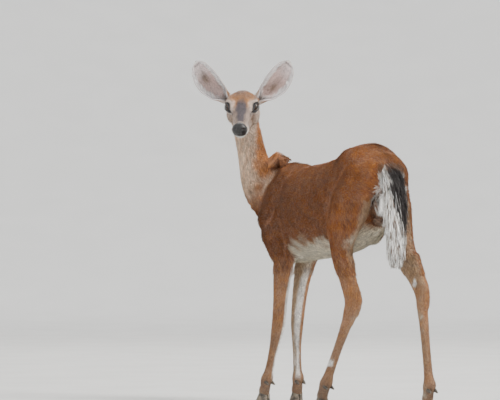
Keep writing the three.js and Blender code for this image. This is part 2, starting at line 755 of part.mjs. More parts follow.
// One claw: rings of a pointed half oval, straight towards the cleft, that lean back as they rise.
function claw(leg, side) {
  const ring = (z) => {
    const toe = CLAW.toe - CLAW.toeLean * z;
    const heel = CLAW.heel + CLAW.heelLean * z;
    const wide = CLAW.width * (1 - CLAW.taper * z);
    return times(CLAW.corners, (i) => {
      const angle = (2 * Math.PI * i) / CLAW.corners;
      const along = mix(heel, toe, (1 + Math.cos(angle)) / 2);
      const wall = wide * Math.max(0, Math.sin(angle)) ** CLAW.squareness;
      const hollow = 0.6 * Math.max(0, -Math.sin(angle));
      return v3(along, side * (CLAW.cleft + wall + hollow), z);
    });
  };
  const rings = CLAW.levels.map(ring);
  const opposite = CLAW.corners / 2;
  const inward = side * (CLAW.cleft + CLAW.width * 0.4);
  const pole = (points) => v3((points[0].x + points[opposite].x) / 2, inward, points[0].z);
  const matrix = footMatrix(FEET[leg]);
  const placed = rings.map((points) => points.map((p) => p.clone().applyMatrix4(matrix)));
  return skinOver(placed, pole(rings[0]).applyMatrix4(matrix), pole(rings.at(-1)).applyMatrix4(matrix));
}

function dewclaw(leg, side, grow) {
  const { height, behind, apart, length, radius, lean } = DEWCLAW;
  const cone = new THREE.ConeGeometry(radius + grow, length + 2 * grow, 8).rotateX(-Math.PI / 2);
  cone.rotateY(radians(lean)).translate(-behind, side * apart, height);
  const fetlock = frameAtHeight(legTubes[leg], height + 8).at;
  const turned = new THREE.Matrix4().makeRotationZ(radians(FEET[leg].yaw)).setPosition(fetlock.x, fetlock.y, 0);
  return solidOf(cone.applyMatrix4(turned));
}

function addLeg(leg) {
  const tube = legTubes[leg];
  const [top, joint, fetlock] = LEG_CUTS[leg].map((z) => frameAtHeight(tube, z));
  const start = Math.max(0, tube.frames.indexOf(top) / tube.frames.length - LEG_ROOT);
  const whole = loft(body, framesAlong(tube, LOFTS.leg.rings, start), LOFTS.leg);
  let foot = before(beyond(whole, fetlock), coronet(leg));
  for (const [name, side] of Object.entries(SIDES)) {
    addNode(`${leg}_hoof_${name}`, beyond(claw(leg, side), coronet(leg)), DARK.hoof, 0.5);
    addNode(`${leg}_dewclaw_${name}`, dewclaw(leg, side, 0), DARK.hoof, 0.5);
    foot = foot.subtract(dewclaw(leg, side, GAP));
  }
  addNode(`${leg}_upper`, before(beyond(whole, top), joint), COLOURS.coat);
  addNode(`${leg}_cannon`, before(beyond(whole, joint), fetlock), COLOURS.shin);
  addNode(`${leg}_foot`, foot, COLOURS.shin);
}

addTrunkAndTail();
addNeck();
addHead();
Object.keys(LEGS).forEach(addLeg);

export default deer;
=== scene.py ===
"""A white-tailed doe as a still, life-size museum model: skin, summer coat, eyes and hooves over the fixed frame.

Shapes are worked out in the doe's own measures, millimetres with +X the way she walks, +Y her left and +Z up,
and are put into the frame's metres as the last step. One field of tubes and ellipsoids gives her outer form out
to the tips of the hair. The skin lies inside it by the depth of the coat, and the coat grows from the skin.
"""

import json
import logging
import math
from contextlib import contextmanager
from dataclasses import dataclass, field
from enum import Enum
from typing import Callable, Iterator

import bpy
import numpy as np
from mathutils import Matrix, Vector

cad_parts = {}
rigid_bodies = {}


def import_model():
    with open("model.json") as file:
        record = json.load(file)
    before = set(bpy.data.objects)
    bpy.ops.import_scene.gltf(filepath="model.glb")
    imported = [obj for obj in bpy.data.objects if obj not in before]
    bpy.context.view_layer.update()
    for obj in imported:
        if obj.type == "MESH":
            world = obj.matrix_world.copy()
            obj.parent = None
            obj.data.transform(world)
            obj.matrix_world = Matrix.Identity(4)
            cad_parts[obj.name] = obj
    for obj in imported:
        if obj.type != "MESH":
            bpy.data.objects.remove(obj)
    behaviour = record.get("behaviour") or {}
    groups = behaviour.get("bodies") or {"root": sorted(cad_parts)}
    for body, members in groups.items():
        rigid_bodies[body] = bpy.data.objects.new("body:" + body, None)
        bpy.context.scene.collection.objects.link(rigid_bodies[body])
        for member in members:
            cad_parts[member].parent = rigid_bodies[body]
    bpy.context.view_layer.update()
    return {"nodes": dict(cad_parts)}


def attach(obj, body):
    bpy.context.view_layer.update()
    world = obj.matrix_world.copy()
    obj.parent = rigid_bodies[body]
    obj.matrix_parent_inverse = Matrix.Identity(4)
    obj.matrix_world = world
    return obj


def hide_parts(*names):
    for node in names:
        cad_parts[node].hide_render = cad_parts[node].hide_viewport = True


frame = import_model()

Array = np.ndarray
Stations = list[list[float]]
LOG = logging.getLogger("doe")
SEED = 20387
CENTRE = np.array([-40.0, 87.0, 0.0])  # middle of her footprint, the frame's origin
BODY = "root"


class Side(Enum):
    """Her left and right, as the sign of Y."""

    LEFT = 1
    RIGHT = -1


class Region(Enum):
    """Parts of the body that have a line of their own for the coat to follow."""

    TRUNK = 0
    NECK = 1
    HEAD = 2
    FORE_LEFT = 3
    FORE_RIGHT = 4
    HIND_LEFT = 5
    HIND_RIGHT = 6
    TAIL = 7


# ---------------------------------------------------------------- the doe's measures, in millimetres

# Trunk sections: x, height of the back, height of the belly, half width.
TRUNK: Stations = [
    [-335, 872, 690, 50],
    [-296, 905, 602, 80],
    [-215, 899, 552, 97],
    [-110, 873, 526, 110],
    [0, 853, 514, 119],
    [95, 845, 507, 119],
    [190, 842, 498, 107],
    [270, 838, 504, 88],
    [335, 818, 545, 70],
]
# Legs, hip or shoulder to coronet: x, y, z, half depth, half width.
LEGS: dict[Region, Stations] = {
    Region.FORE_LEFT: [
        [262, 70, 605, 56, 34],
        [214, 64, 528, 55, 31],
        [214, 63, 480, 52, 30],
        [226, 62, 425, 42, 27],
        [238, 60, 360, 33, 24],
        [248, 60, 292, 30, 23],
        [258, 61, 252, 27, 21],
        [280, 64, 184, 19, 15],
        [301, 68, 114, 19, 15],
        [314, 70, 80, 23, 20],
        [327, 72, 46, 19, 20],
        [334, 73, 14, 20, 21],
    ],
    Region.FORE_RIGHT: [
        [285, -70, 605, 56, 34],
        [262, -64, 528, 54, 31],
        [273, -62, 485, 49, 29],
        [290, -60, 425, 40, 26],
        [303, -58, 360, 33, 24],
        [310, -55, 292, 29, 22],
        [311, -54, 252, 25, 20],
        [311, -54, 184, 19, 15],
        [309, -55, 114, 19, 15],
        [307, -56, 80, 23, 20],
        [315, -57, 46, 19, 20],
        [321, -58, 14, 20, 21],
    ],
    Region.HIND_LEFT: [
        [-296, 58, 795, 74, 46],
        [-268, 82, 705, 98, 50],
        [-240, 98, 620, 80, 43],
        [-229, 96, 560, 58, 34],
        [-232, 92, 502, 46, 29],
        [-249, 88, 440, 33, 23],
        [-272, 85, 372, 31, 20],
        [-257, 83, 318, 31, 19],
        [-233, 82, 282, 23, 16.5],
        [-183, 81, 208, 18.5, 14],
        [-128, 81, 122, 19, 15],
        [-106, 82, 82, 24, 20],
        [-86, 83, 48, 19, 20],
        [-78, 84, 14, 20, 21],
    ],
    Region.HIND_RIGHT: [
        [-304, -58, 795, 72, 44],
        [-286, -79, 705, 86, 45],
        [-294, -91, 628, 74, 38],
        [-322, -93, 560, 58, 31],
        [-362, -92, 500, 46, 26],
        [-414, -89, 440, 33, 22],
        [-448, -84, 392, 27, 18],
        [-462, -81, 340, 24, 16.5],
        [-472, -81, 290, 20, 15.5],
        [-484, -81, 212, 18.5, 14],
        [-498, -81, 124, 19, 15],
        [-504, -81, 86, 24, 20],
        [-494, -81, 48, 19, 20],
        [-489, -81, 14, 20, 21],
    ],
}
HOCK_TENDONS: list[Stations] = [
    [[-270, 92, 500, 15, 12], [-300, 87, 432, 11, 9], [-322, 85, 374, 15, 12], [-294, 84, 332, 13, 12]],
    [[-398, -92, 520, 15, 12], [-447, -87, 462, 11, 9], [-479, -83, 414, 14, 11], [-476, -81, 366, 12, 11]],
]
# Neck, chest to skull: x, y, z, half depth, half width, and the yaw of its side direction as it twists.
NECK: Stations = [
    [235, 0, 715, 118, 66, 0],
    [318, 8, 722, 112, 66, 4],
    [366, 34, 752, 92, 62, 20],
    [379, 62, 800, 72, 57, 45],
    [381, 82, 852, 59, 53, 72],
    [382, 96, 904, 53, 50, 98],
    [383, 108, 955, 49, 50, 120],
    [383, 120, 1004, 46, 49, 138],
    [375, 132, 1052, 43, 45, 143],
]
TAIL: Stations = [
    [-340, 0, 838, 19, 22],
    [-384, 0, 812, 21, 27],
    [-410, 2, 756, 20, 34],
    [-427, 7, 686, 19, 36],
    [-440, 13, 615, 17, 30],
    [-451, 19, 555, 12, 20],
    [-459, 24, 508, 7, 10],
]
TAIL_CORE = [1.0, 0.95, 0.66, 0.46, 0.42, 0.46, 0.6]  # share of the haired tail that is flesh, at each station
BODY_BLEND, HEAD_BLEND = 34.0, 15.0

HEAD_AT, HEAD_YAW, HEAD_PITCH = np.array([305.0, 179.0, 1054.0]), 145.6, 21.0
# From the back of the skull to the nose, in the head's frame.
HEAD_LINE = ([-62.0, 0.0, -10.0], [136.0, 0.0, -44.0])
EYE_AT, EYE_RADIUS, EYE_OUTWARD, EYE_UPWARD = np.array([6.0, 43.0, 1.0]), 17.5, 46.0, 8.0

HIND_LEGS = (Region.HIND_LEFT, Region.HIND_RIGHT)
HOCK_GLANDS = {Region.HIND_LEFT: [-262, 66, 392], Region.HIND_RIGHT: [-425, -66, 436]}
CANNON_GLANDS = {Region.HIND_LEFT: [-151, 96, 155], Region.HIND_RIGHT: [-491, -97, 165]}

FEET: dict[Region, tuple[float, float, float]] = {  # x, y and yaw of each foot
    Region.FORE_LEFT: (334, 73, 5),
    Region.FORE_RIGHT: (321, -58, -5),
    Region.HIND_LEFT: (-78, 84, 3),
    Region.HIND_RIGHT: (-489, -81, -3),
}


# ---------------------------------------------------------------- arithmetic on arrays of points


def to_frame(points: Array) -> Array:
    """Points in the doe's millimetres as points of the frame, in metres."""
    return (points - CENTRE) / 1000.0


def to_doe(points: Array) -> Array:
    """Points of the frame, in metres, in the doe's millimetres."""
    return points * 1000.0 + CENTRE


def unit(vectors: Array) -> Array:
    """Each vector at length one."""
    return vectors / np.maximum(np.linalg.norm(vectors, axis=-1, keepdims=True), 1e-9)


def dot(a: Array, b: Array) -> Array:
    """The dot product of each pair of rows."""
    return (a * b).sum(-1)


def ease(low: float, high: float, values: Array) -> Array:
    """Nought below low, one above high, and a smooth step between them; low may be the greater."""
    t = np.clip((values - low) / (high - low), 0.0, 1.0)
    return t * t * (3 - 2 * t)


def bump(values: Array, middle: float, width: float) -> Array:
    """A soft bell of height one round a middle."""
    return np.exp(-(((values - middle) / width) ** 2))


def rotation(yaw: float, pitch: float) -> Array:
    """A turn by pitch degrees about Y, nose down, then by yaw degrees about Z."""
    y, p = math.radians(yaw), math.radians(pitch)
    about_z = np.array([[math.cos(y), -math.sin(y), 0], [math.sin(y), math.cos(y), 0], [0, 0, 1]])
    about_y = np.array([[math.cos(p), 0, math.sin(p)], [0, 1, 0], [-math.sin(p), 0, math.cos(p)]])
    return about_z @ about_y


HEAD_TURN = rotation(HEAD_YAW, HEAD_PITCH)


def on_head(points: Array) -> Array:
    """Points written in the head's frame, in the doe's."""
    return np.asarray(points, float) @ HEAD_TURN.T + HEAD_AT


def in_head(points: Array) -> Array:
    """The doe's points in the head's frame: x to the nose, y to her left, z to the crown."""
    return (points - HEAD_AT) @ HEAD_TURN


class Ripple:
    """A smooth random pattern: the mean of a few plane waves of about one wavelength."""

    def __init__(self, wavelength: float, seed: int, waves: int = 9) -> None:
        """Draws the waves.

        Args:
            wavelength: mean length of a wave, in millimetres.
            seed: picks the pattern.
            waves: how many are summed.
        """
        random = np.random.default_rng(SEED + seed)
        way = unit(random.normal(size=(waves, 3)))
        self.way = way * (2 * math.pi / (wavelength * random.uniform(0.65, 1.6, (waves, 1))))
        self.phase = random.uniform(0, 2 * math.pi, waves)

    def at(self, points: Array) -> Array:
        """The pattern at each point, from about -1 to 1."""
        return np.sin(points @ self.way.T + self.phase).sum(1) / math.sqrt(len(self.phase)) * 0.8


# ---------------------------------------------------------------- the outer form as a distance field


def catmull_rom(points: Array, places: Array) -> Array:
    """A uniform Catmull-Rom curve through rows of numbers.

    Args:
        points: the rows it passes through.
        places: where to read it, in rows from the first.

    Returns:
        One row for each place.
    """
    padded = np.vstack([2 * points[0] - points[1], points, 2 * points[-1] - points[-2]])
    low = np.minimum(places.astype(int), len(points) - 2)
    t = (places - low)[:, None]
    a, b, c, d = (padded[low + k] for k in range(4))
    t0, t1 = 0.5 * (c - a), 0.5 * (d - b)
    return (2 * b - 2 * c + t0 + t1) * t**3 + (3 * c - 3 * b - 2 * t0 - t1) * t**2 + t0 * t + b


def ellipsoid_distance(u: Array, v: Array, w: Array, a: Array, b: Array, c: Array) -> Array:
    """Nearly the distance to an ellipsoid, from offsets along its axes and its half sizes."""
    scaled = np.sqrt((u / a) ** 2 + (v / b) ** 2 + (w / c) ** 2)
    return np.sqrt(u * u + v * v + w * w) * (1 - 1 / np.maximum(scaled, 1e-6))


class Tube:
    """A tube with elliptic sections through stations of x, y, z, half depth, half width and yaw."""

    STEPS = 4
    CHUNK = 20000

    def __init__(self, stations: Stations) -> None:
        """Runs a smooth curve through the stations and sets a frame at each step of it."""
        rows = np.array([list(s) + [0.0] * (6 - len(s)) for s in stations], float)
        places = np.linspace(0, len(rows) - 1, (len(rows) - 1) * self.STEPS + 1)
        smooth = catmull_rom(rows, places)
        self.at, self.depth, self.width = smooth[:, :3], smooth[:, 3], smooth[:, 4]
        nudged = np.clip(places + 1e-3, 0, len(rows) - 1), np.clip(places - 1e-3, 0, len(rows) - 1)
        self.axis = unit(catmull_rom(rows, nudged[0])[:, :3] - catmull_rom(rows, nudged[1])[:, :3])
        yaw = np.radians(smooth[:, 5])
        side = np.stack([-np.sin(yaw), np.cos(yaw), 0 * yaw], 1)
        self.side = unit(side - self.axis * dot(side, self.axis)[:, None])
        self.rise = np.cross(self.axis, self.side)
        self.run = np.concatenate([[0], np.cumsum(np.linalg.norm(np.diff(self.at, axis=0), axis=1))])
        self.centre = (self.at.min(0) + self.at.max(0)) / 2
        span = np.linalg.norm(self.at.max(0) - self.at.min(0)) / 2
        self.radius = span + max(self.depth.max(), self.width.max())

    def nearest(self, points: Array) -> tuple[Array, Array, Array]:
        """Each point's nearest stretch of the middle line, the share along it, and how far past its ends."""
        a, d = self.at[:-1], np.diff(self.at, axis=0)
        square, start = dot(d, d), dot(a, d)
        found = [np.empty(len(points), int), np.empty(len(points)), np.empty(len(points))]
        for low in range(0, len(points), self.CHUNK):
            part = slice(low, low + self.CHUNK)
            p = points[part]
            along = (p @ d.T - start) / square
            share = np.clip(along, 0, 1)
            apart = -2 * (p @ a.T) + dot(a, a) - 2 * share * along * square + share * share * square
            best = apart.argmin(1)
            rows = np.arange(len(p))
            found[0][part], found[1][part] = best, share[rows, best]
            found[2][part] = (along - share)[rows, best]
        return found[0], found[1], found[2]

    def offsets(self, points: Array) -> dict[str, Array]:
        """Where each point lies about the tube.

        Returns:
            rise, side and past: offsets along the frame there; depth and width: half sizes; axis: the line's
            direction; up: the rise direction; run: millimetres along the line; share: the same from 0 to 1.
        """
        i, t, beyond = self.nearest(points)
        t = t[:, None]
        offset = points - (self.at[i] * (1 - t) + self.at[i + 1] * t)

        def between(name: str) -> Array:
            """The offset along one of the frame's directions, eased from station to station."""
            rows = getattr(self, name)
            return dot(offset, rows[i]) * (1 - t[:, 0]) + dot(offset, rows[i + 1]) * t[:, 0]

        def mean(rows: Array) -> Array:
            """A size of the tube there."""
            return rows[i] * (1 - t[:, 0]) + rows[i + 1] * t[:, 0]

        run = mean(self.run)
        return {
            "rise": between("rise"),
            "side": between("side"),
            "past": np.where(beyond == 0, 0.0, between("axis")),
            "depth": mean(self.depth),
            "width": mean(self.width),
            "axis": unit(self.axis[i] * (1 - t) + self.axis[i + 1] * t),
            "up": unit(self.rise[i] * (1 - t) + self.rise[i + 1] * t),
            "run": run,
            "share": run / self.run[-1],
        }

    def distance(self, points: Array) -> Array:
        """Nearly the distance of each point from the tube's surface, negative inside."""
        o = self.offsets(points)
        end = np.minimum(o["depth"], o["width"])
        return ellipsoid_distance(o["rise"], o["side"], o["past"], o["depth"], o["width"], end)


class Barrel(Tube):
    """A thick, nearly level tube of upright sections, whose places are told by x alone."""

    def __init__(self, stations: Stations) -> None:
        """Stands every section upright, so that no two of them cross."""
        super().__init__(stations)
        self.axis[:], self.side[:], self.rise[:] = np.eye(3)

    def nearest(self, points: Array) -> tuple[Array, Array, Array]:
        """For each point, the stretch of the middle line level with it, the share along it, and how far past."""
        run = self.at[:, 0]
        i = np.clip(np.searchsorted(run, points[:, 0]) - 1, 0, len(run) - 2)
        t = (points[:, 0] - run[i]) / (run[i + 1] - run[i])
        share = np.clip(t, 0, 1)
        return i, share, t - share


class Ellipsoid:
    """An ellipsoid with half sizes along X, Y and Z, its front tipped down about Y by pitch degrees."""

    def __init__(self, centre: list[float], half: list[float], pitch: float = 0.0) -> None:
        """Places it."""
        self.centre, self.half = np.array(centre, float), half
        self.turn = rotation(0, pitch)
        self.radius = max(half)

    def distance(self, points: Array) -> Array:
        """Nearly the distance of each point from the surface, negative inside."""
        q = (points - self.centre) @ self.turn
        return ellipsoid_distance(q[:, 0], q[:, 1], q[:, 2], *self.half)


class Union:
    """The smooth union of several shapes, passing over those too far away to matter."""

    def __init__(self, shapes: list, softness: float) -> None:
        """Keeps the shapes and the width over which they flow into each other."""
        self.shapes, self.softness = shapes, softness

    def distance(self, points: Array) -> Array:
        """Nearly the distance of each point from the joined surface, negative inside."""
        found = np.full(len(points), 1e3)
        for shape in self.shapes:
            near = np.linalg.norm(points - shape.centre, axis=1) - shape.radius < found + self.softness
            if near.any():
                found[near] = smooth_least(found[near], shape.distance(points[near]), self.softness)
        return found


class OnHead:
    """A field written in the head's frame, set in the doe's."""

    def __init__(self, shape: Union, radius: float) -> None:
        """Keeps the field and how far it reaches."""
        self.shape, self.radius, self.centre = shape, radius, HEAD_AT

    def distance(self, points: Array) -> Array:
        """Nearly the distance of each point from the head's surface, negative inside."""
        return self.shape.distance(in_head(points))


def smooth_least(a: Array, b: Array, width: float) -> Array:
    """The lesser of two distances, flowing from one to the other over a width."""
    h = np.maximum(width - np.abs(a - b), 0) / width
    return np.minimum(a, b) - h * h * width * 0.25


def trunk_tube() -> Tube:
    """The barrel of the body."""
    return Barrel([[x, 0, (top + low) / 2, (top - low) / 2, wide] for x, top, low, wide in TRUNK])


def shoulder(s: int) -> list:
    """Shoulder blade, upper arm and the muscle behind them, on one side."""
    return [
        Tube([[222, 44 * s, 808, 40, 20], [268, 64 * s, 732, 54, 26], [300, 72 * s, 655, 44, 30]]),
        Tube([[298, 72 * s, 655, 44, 30], [262, 70 * s, 596, 50, 31], [236, 65 * s, 545, 44, 29]]),
        Ellipsoid([196, 70 * s, 622], [60, 30, 78], -14),
    ]


def hip(s: int) -> list:
    """Seat bone, loin and the front of the thigh, on one side."""
    return [
        Ellipsoid([-345, 42 * s, 800], [40, 30, 62], 14),
        Tube([[-200, 46 * s, 842, 42, 40], [-275, 49 * s, 846, 43, 40], [-345, 45 * s, 806, 46, 36]]),
        Ellipsoid([-150, 76 * s, 645], [78, 32, 86], 24),
    ]


def cheek_and_brow(s: int) -> list:
    """The mound round the eye, brow, cheek, jaw and root of the ear, on one side."""
    return [
        Ellipsoid([2, 41 * s, 1], [28, 21, 22]),
        Tube([[-34, 33 * s, 24, 13, 14], [0, 42 * s, 19, 10, 12], [30, 28 * s, 2, 12, 12]]),
        Ellipsoid([-38, 41 * s, -34], [44, 19, 38], 6),
        Tube([[-58, 26 * s, -54, 17, 14], [10, 20 * s, -63, 14, 13], [88, 10 * s, -67, 11, 12]]),
        Tube([[-56, 30 * s, 0, 24, 24], [-64, 42 * s, 3, 20, 20]]),
    ]


def head_shape() -> Union:
    """The head in its own frame."""
    skull = Ellipsoid([-48, 0, 2], [60, 45, 40])
    face = Tube(
        [
            [-62, 0, -12, 46, 42],
            [-20, 0, -10, 50, 43],
            [22, 0, -20, 43, 36],
            [62, 0, -29, 34, 28],
            [104, 0, -37, 27, 25.5],
            [132, 0, -42, 23, 24],
        ]
    )
    nose, lips = Ellipsoid([139, 0, -35], [18, 22.5, 17]), Ellipsoid([122, 0, -50], [27, 25.5, 16])
    chin = Ellipsoid([106, 0, -66], [24, 17, 12])
    return Union([skull, face, nose, lips, chin, *cheek_and_brow(1), *cheek_and_brow(-1)], HEAD_BLEND)


class Form:
    """Her outer form, the lines its parts are built on, and what is asked of it."""

    FOOT_SLOPE = math.atan2(17, 30)

    def __init__(self) -> None:
        """Builds every tube and ellipsoid once."""
        self.lines: dict[Region, Tube] = {Region.TRUNK: trunk_tube(), Region.NECK: Tube(NECK)}
        start, end = on_head([HEAD_LINE[0], HEAD_LINE[1]])
        middle = (start + end) / 2
        self.lines[Region.HEAD] = Tube(
            [[*start, 50, 44, HEAD_YAW], [*middle, 38, 33, HEAD_YAW], [*end, 24, 24, HEAD_YAW]]
        )
        self.lines |= {leg: Tube(stations) for leg, stations in LEGS.items()}
        self.lines[Region.TAIL] = Tube(TAIL)
        crest = Tube([[170, 0, 804, 38, 26], [255, 3, 801, 53, 30], [326, 24, 800, 60, 38]])
        croup = Tube(
            [[-150, 0, 842, 34, 60], [-230, 0, 856, 42, 70], [-290, 0, 856, 42, 60], [-335, 0, 838, 36, 40]]
        )
        self.outer = Union(
            [
                self.lines[Region.TRUNK],
                *shoulder(1),
                *shoulder(-1),
                *hip(1),
                *hip(-1),
                crest,
                croup,
                Ellipsoid([328, 0, 622], [56, 50, 78]),
                *[self.lines[leg] for leg in LEGS],
                *[Tube(stations) for stations in HOCK_TENDONS],
                self.lines[Region.NECK],
                OnHead(head_shape(), 215),
            ],
            BODY_BLEND,
        )
        self.tail_core = Tube([[x, y, z, d * f, w * f] for (x, y, z, d, w), f in zip(TAIL, TAIL_CORE)])

    @staticmethod
    def coat_depth(points: Array) -> Array:
        """How far the skin lies under the tips of the coat: deep on the body, shallow on face and feet."""
        body = np.interp(points[:, 2], [0, 100, 300, 420, 520, 620], [1.2, 1.5, 2.0, 3.2, 4.6, 5.2])
        q = in_head(points)
        head = np.interp(q[:, 0], [-100, -50, 0, 60, 118, 140], [4.2, 2.6, 1.7, 1.3, 0.9, 0.25])
        away = np.linalg.norm(points - HEAD_AT, axis=1)
        nearness = ease(-70, -25, q[:, 0] + 0.4 * q[:, 2]) * ease(190, 140, away)
        return body * (1 - nearness) + head * nearness

    def below_coronet(self, points: Array) -> Array:
        """How far each point lies below the sloping line where the hair of its foot ends, or well above it."""
        found = np.full(len(points), -1e3)
        for x, y, yaw in FEET.values():
            turn = rotation(yaw, 0)
            q = (points - [x, y, 0]) @ turn
            near = (np.abs(q[:, 0]) < 62) & (np.abs(q[:, 1]) < 60) & (points[:, 2] < 95)
            level = 19 + (q[:, 0] + 22) * math.tan(self.FOOT_SLOPE)
            found[near] = ((level - points[:, 2]) * math.cos(self.FOOT_SLOPE))[near]
        return found

    def skin(self, points: Array) -> Array:
        """Nearly the distance of each point from the skin, negative inside."""
        flesh = self.outer.distance(points) + self.coat_depth(points)
        near_tail = points[:, 0] < -290
        core = self.tail_core.distance(points[near_tail]) + 2.0
        flesh[near_tail] = smooth_least(flesh[near_tail], core, 9.0)
        return np.maximum(flesh, self.below_coronet(points))


# ---------------------------------------------------------------- meshes from arrays


def mesh_object(name: str, points: Array, faces: Array) -> bpy.types.Object:
    """An object in the scene from points in the doe's millimetres and faces of equal size.

    Args:
        name: the object's name.
        points: N x 3.
        faces: M x 3 or M x 4 indices.

    Returns:
        The object, at the origin, its mesh in the frame's metres.
    """
    mesh = bpy.data.meshes.new(name)
    count, corners = faces.shape
    mesh.vertices.add(len(points))
    mesh.vertices.foreach_set("co", to_frame(points).astype(np.float32).ravel())
    mesh.loops.add(count * corners)
    mesh.loops.foreach_set("vertex_index", faces.astype(np.int32).ravel())
    mesh.polygons.add(count)
    mesh.polygons.foreach_set("loop_start", np.arange(0, count * corners, corners, dtype=np.int32))
    mesh.update(calc_edges=True)
    mesh.polygons.foreach_set("use_smooth", np.ones(count, bool))
    made = bpy.data.objects.new(name, mesh)
    bpy.context.scene.collection.objects.link(made)
    return made


def read(rows: bpy.types.bpy_prop_collection, name: str, width: int = 3, kind: type = np.float32) -> Array:
    """One property of every row of a mesh, as an array of rows by width."""
    flat = np.empty(len(rows) * width, kind)
    rows.foreach_get(name, flat)
    return flat.reshape(-1, width)


def points_of(thing: bpy.types.Object) -> Array:
    """The object's vertices in the doe's millimetres."""
    return to_doe(read(thing.data.vertices, "co").astype(float))


def move_points(thing: bpy.types.Object, points: Array) -> None:
    """Puts the object's vertices at points in the doe's millimetres."""
    thing.data.vertices.foreach_set("co", to_frame(points).astype(np.float32).ravel())
    thing.data.update()


def normals_of(thing: bpy.types.Object) -> Array:
    """The object's vertex normals."""
    return read(thing.data.vertex_normals, "vector").astype(float)


def pick_only(*things: bpy.types.Object) -> None:
    """Selects these objects alone, the first of them active."""
    bpy.ops.object.select_all(action="DESELECT")
    for thing in things:
        thing.select_set(True)
    bpy.context.view_layer.objects.active = things[0]


@contextmanager
def editing(thing: bpy.types.Object) -> Iterator[None]:
    """Edit mode on one object alone."""
    pick_only(thing)
    bpy.ops.object.mode_set(mode="EDIT")
    yield
    bpy.ops.object.mode_set(mode="OBJECT")


def apply_modifier(thing: bpy.types.Object, kind: str, **values: object) -> None:
    """Adds a modifier with these values and applies it.

    Args:
        thing: the object.
        kind: the modifier's type.
        values: its properties.
    """
    pick_only(thing)
    made = thing.modifiers.new(kind.lower(), kind)
    for name, value in values.items():
        setattr(made, name, value)
    bpy.ops.object.modifier_apply(modifier=made.name)


def put_value(thing: bpy.types.Object, name: str, values: Array) -> None:
    """Stores one number, or a colour of three, at each vertex under a name."""
    if values.ndim == 2:
        layer = thing.data.attributes.new(name, "FLOAT_COLOR", "POINT")
        layer.data.foreach_set("color", np.hstack([values, np.ones((len(values), 1))]).astype(np.float32).ravel())
    else:
        layer = thing.data.attributes.new(name, "FLOAT", "POINT")
        layer.data.foreach_set("value", values.astype(np.float32))


def ringed_faces(rings: int, around: int, closed: bool = True) -> Array:
    """Quads over rings of points, facing out when the rings turn right-handed about their run."""
    across = around if closed else around - 1
    i, j = np.meshgrid(np.arange(rings - 1), np.arange(across), indexing="ij")
    k = (j + 1) % around
    low, high = i * around, (i + 1) * around
    return np.stack([low + j, low + k, high + k, high + j], -1).reshape(-1, 4)


def close_ends(thing: bpy.types.Object) -> None:
    """Fills the open rings of a tube of faces and turns every face outwards."""
    with editing(thing):
        bpy.ops.mesh.select_all(action="SELECT")
        bpy.ops.mesh.fill_holes(sides=0)
        bpy.ops.mesh.select_all(action="SELECT")
        bpy.ops.mesh.normals_make_consistent(inside=False)


# ---------------------------------------------------------------- strokes that shape the skin


@dataclass(frozen=True)
class Stroke:
    """A soft ridge or groove along a line, as a modelling tool would press it.

    The line's points are x, y, z; width is the reach of the press; height is positive for a ridge.
    """

    line: tuple[tuple[float, float, float], ...]
    width: float
    height: float

    def mirrored(self) -> "Stroke":
        """The same stroke on the other side."""
        return Stroke(tuple((x, -y, z) for x, y, z in self.line), self.width, self.height)

    def lift(self, points: Array) -> Array:
        """How far each point is moved along its normal."""
        rows = np.array(self.line, float)
        box = (points > rows.min(0) - 3 * self.width) & (points < rows.max(0) + 3 * self.width)
        near = box.all(1)
        p = points[near]
        if not len(p):
            return np.zeros(len(points))
        square = np.full(len(p), 1e9)
        for a, b in zip(rows[:-1], rows[1:]) if len(rows) > 1 else [(rows[0], rows[0] + 1e-3)]:
            t = np.clip(((p - a) @ (b - a)) / dot(b - a, b - a), 0, 1)[:, None]
            square = np.minimum(square, dot(p - a - t * (b - a), p - a - t * (b - a)))
        lifted = np.zeros(len(points))
        lifted[near] = self.height * np.exp(-square / self.width**2)
        return lifted


BODY_STROKES = [
    Stroke(((250, 56, 806), (262, 80, 760), (276, 92, 700)), 11, 2.6),  # spine of the shoulder blade
    Stroke(((205, 70, 800), (196, 100, 740), (192, 112, 680)), 16, -3.0),  # behind the shoulder blade
    Stroke(((292, 98, 668), (250, 104, 640), (206, 104, 640)), 13, 2.2),  # upper arm and long triceps
    Stroke(((180, 112, 690), (166, 108, 610), (176, 92, 540)), 15, -4.0),  # behind the triceps
    Stroke(((186, 84, 522), (172, 86, 560), (170, 92, 600)), 5, -2.2),  # skin fold behind the elbow
    Stroke(((205, 88, 520),), 14, 2.6),  # elbow
    Stroke(((290, 92, 648),), 22, 2.4),  # point of the shoulder
    Stroke(((-150, 92, 790), (-140, 112, 730), (-128, 116, 670)), 34, -4.5),  # hollow of the flank
    Stroke(((-205, 72, 880), (-214, 88, 846)), 17, 4.2),  # point of the hip
    Stroke(((-205, 106, 700), (-176, 108, 640), (-160, 102, 590)), 15, 3.0),  # fold of the flank to the stifle
    Stroke(((-330, 76, 800), (-322, 100, 730), (-306, 112, 650), (-286, 110, 580)), 13, -3.6),  # back of the thigh
    Stroke(((-252, 104, 820), (-262, 122, 740), (-256, 128, 660)), 20, 2.6),  # biceps of the thigh
    Stroke(((-228, 112, 780), (-220, 122, 720), (-214, 124, 650)), 12, -1.0),  # in front of that muscle
    Stroke(((-336, 60, 820),), 20, 2.6),  # seat bone
    Stroke(((240, 0, 852), (60, 0, 852), (-120, 0, 876)), 9, 1.6),  # line of the spine
    Stroke(((-120, 58, 866), (60, 62, 842), (200, 54, 838)), 16, 1.6),  # loin muscle
    Stroke(((-120, 92, 828), (60, 96, 804), (180, 92, 796)), 15, -1.6),  # under it
]
RIB_STROKES = [
    Stroke(((x, 112, 800), (x - 22, 124, 720), (x - 40, 120, 640), (x - 46, 104, 570)), 9, 1.0)
    for x in range(-60, 170, 28)
]
